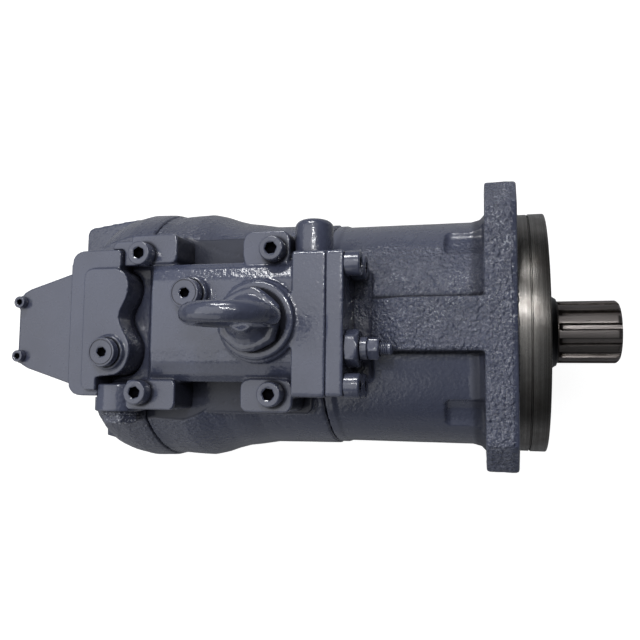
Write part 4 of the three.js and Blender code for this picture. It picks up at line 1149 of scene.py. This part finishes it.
# Hard edges stay hard on turned and hexagon pieces.
CREASE = math.radians(32)
for piece in list(bpy.context.scene.objects):
    if piece.name.endswith(("_fine", "_turned", "_splined")):
        piece.data.set_sharp_from_angle(angle=CREASE)


# ------------------------------------------------------------------ floor, light and camera

LOWEST = CAD_BOUNDS[0].z
CENTRE = (CAD_BOUNDS[0] + CAD_BOUNDS[1]) / 2


def floor_material():
    """Pale floor that reads as plain white to the camera, with only a faint shadow."""
    s = Shader("floor_pale")
    seen = s.add("ShaderNodeLightPath").outputs["Is Camera Ray"]
    matt = s.add("ShaderNodeBsdfDiffuse", {"Color": (0.34, 0.345, 0.36, 1)})
    bright = s.add("ShaderNodeEmission", {"Color": (1, 1, 1, 1), "Strength": 0.93})
    pale = s.add("ShaderNodeBsdfDiffuse", {"Color": (0.35, 0.35, 0.35, 1)})
    to_camera = s.add("ShaderNodeAddShader")
    s.feed(to_camera.inputs[0], bright.outputs[0])
    s.feed(to_camera.inputs[1], pale.outputs[0])
    both = s.add("ShaderNodeMixShader")
    s.feed(both.inputs[0], seen)
    s.feed(both.inputs[1], matt.outputs[0])
    s.feed(both.inputs[2], to_camera.outputs[0])
    s.tree.links.new(both.outputs[0], s.output.inputs[0])
    return s.material


FLOOR_HALF = 4.0
FLOOR_GAP = 0.0005


def add_floor():
    """A square floor just under the pump, which is staging and no part of it."""
    half = FLOOR_HALF
    corners = [(-half, -half, 0), (half, -half, 0), (half, half, 0), (-half, half, 0)]
    mesh = new_mesh("floor", corners, [(0, 1, 2, 3)])
    mesh.materials.append(floor_material())
    floor = bpy.data.objects.new("floor", mesh)
    floor.location = (CENTRE.x, CENTRE.y, LOWEST - FLOOR_GAP)
    bpy.context.scene.collection.objects.link(floor)


# The studio's light comes mostly from above the pump's rear end.
BRIGHT_SIDE = (-0.70, 0.0, 0.70)
DIM, BRIGHT = 0.04, 0.30


def add_world():
    """Soft light that grows towards the bright side, and plain white behind the pump."""
    world = bpy.data.worlds.new("studio")
    bpy.context.scene.world = world
    world.use_nodes = True
    tree = world.node_tree
    tree.nodes.clear()
    output = tree.nodes.new("ShaderNodeOutputWorld")
    back = tree.nodes.new("ShaderNodeBackground")
    white = tree.nodes.new("ShaderNodeBackground")
    white.inputs["Color"].default_value = (1, 1, 1, 1)
    white.inputs["Strength"].default_value = 1.0
    mix = tree.nodes.new("ShaderNodeMixShader")
    path = tree.nodes.new("ShaderNodeLightPath")
    where = tree.nodes.new("ShaderNodeTexCoord")
    ramp = tree.nodes.new("ShaderNodeMapRange")
    along = tree.nodes.new("ShaderNodeVectorMath")
    along.operation = "DOT_PRODUCT"
    along.inputs[1].default_value = BRIGHT_SIDE
    for i, value in enumerate([0.0, 1.0, DIM, BRIGHT], start=1):
        ramp.inputs[i].default_value = value
    back.inputs["Color"].default_value = (0.93, 0.96, 1.0, 1)
    tree.links.new(where.outputs["Generated"], along.inputs[0])
    tree.links.new(along.outputs["Value"], ramp.inputs[0])
    tree.links.new(ramp.outputs[0], back.inputs["Strength"])
    tree.links.new(path.outputs["Is Camera Ray"], mix.inputs[0])
    tree.links.new(back.outputs[0], mix.inputs[1])
    tree.links.new(white.outputs[0], mix.inputs[2])
    tree.links.new(mix.outputs[0], output.inputs[0])


def add_lamp(name, place, target, size, power):
    data = bpy.data.lights.new(name, "AREA")
    data.shape = "RECTANGLE"
    data.size, data.size_y = size
    data.energy = power
    lamp = bpy.data.objects.new(name, data)
    lamp.location = place
    lamp.rotation_mode = "QUATERNION"
    lamp.rotation_quaternion = (Vector(target) - Vector(place)).to_track_quat("-Z", "Y")
    bpy.context.scene.collection.objects.link(lamp)


# The camera as fitted to the photo: its place, its turns in degrees and its lens.
CAMERA_PLACE = (-0.08435, -0.03595, 0.53114)
CAMERA_TURNS = [(14.045, "Y"), (4.867, "X"), (0.594, "Z")]
CAMERA_LENS = 39.52


def add_camera():
    data = bpy.data.cameras.new("camera")
    data.sensor_width = 36.0
    data.lens = CAMERA_LENS
    data.clip_start, data.clip_end = 0.02, 20.0
    camera = bpy.data.objects.new("camera", data)
    turn = Matrix.Identity(4)
    for degrees, axis in CAMERA_TURNS:
        turn = turn @ Matrix.Rotation(math.radians(degrees), 4, axis)
    camera.matrix_world = Matrix.Translation(CAMERA_PLACE) @ turn
    bpy.context.scene.collection.objects.link(camera)
    bpy.context.scene.camera = camera


# Name, place, what it points at, size and power in watts.
LAMPS = [
    ("panel", (CENTRE.x - 0.42, 0.05, 0.92), (CENTRE.x, 0, 0), (1.0, 1.1), 2.9),
    ("key", (CENTRE.x - 0.12, 0.80, 0.60), (CENTRE.x, 0, 0.02), (0.40, 0.12), 3.2),
    ("spark", (CENTRE.x + 0.14, 0.36, 0.92), (CENTRE.x, 0, 0), (0.07, 0.045), 1.3),
    ("strip", (0.02, 0.24, 0.95), (-0.05, 0, 0.08), (0.5, 0.04), 0.9),
    ("fill", (-0.85, -0.70, 0.42), (-0.34, 0, 0.02), (1.2, 0.9), 1.5),
]

add_floor()
add_world()
for lamp in LAMPS:
    add_lamp(*lamp)
add_camera()
bpy.context.scene.view_settings.view_transform = "Standard"
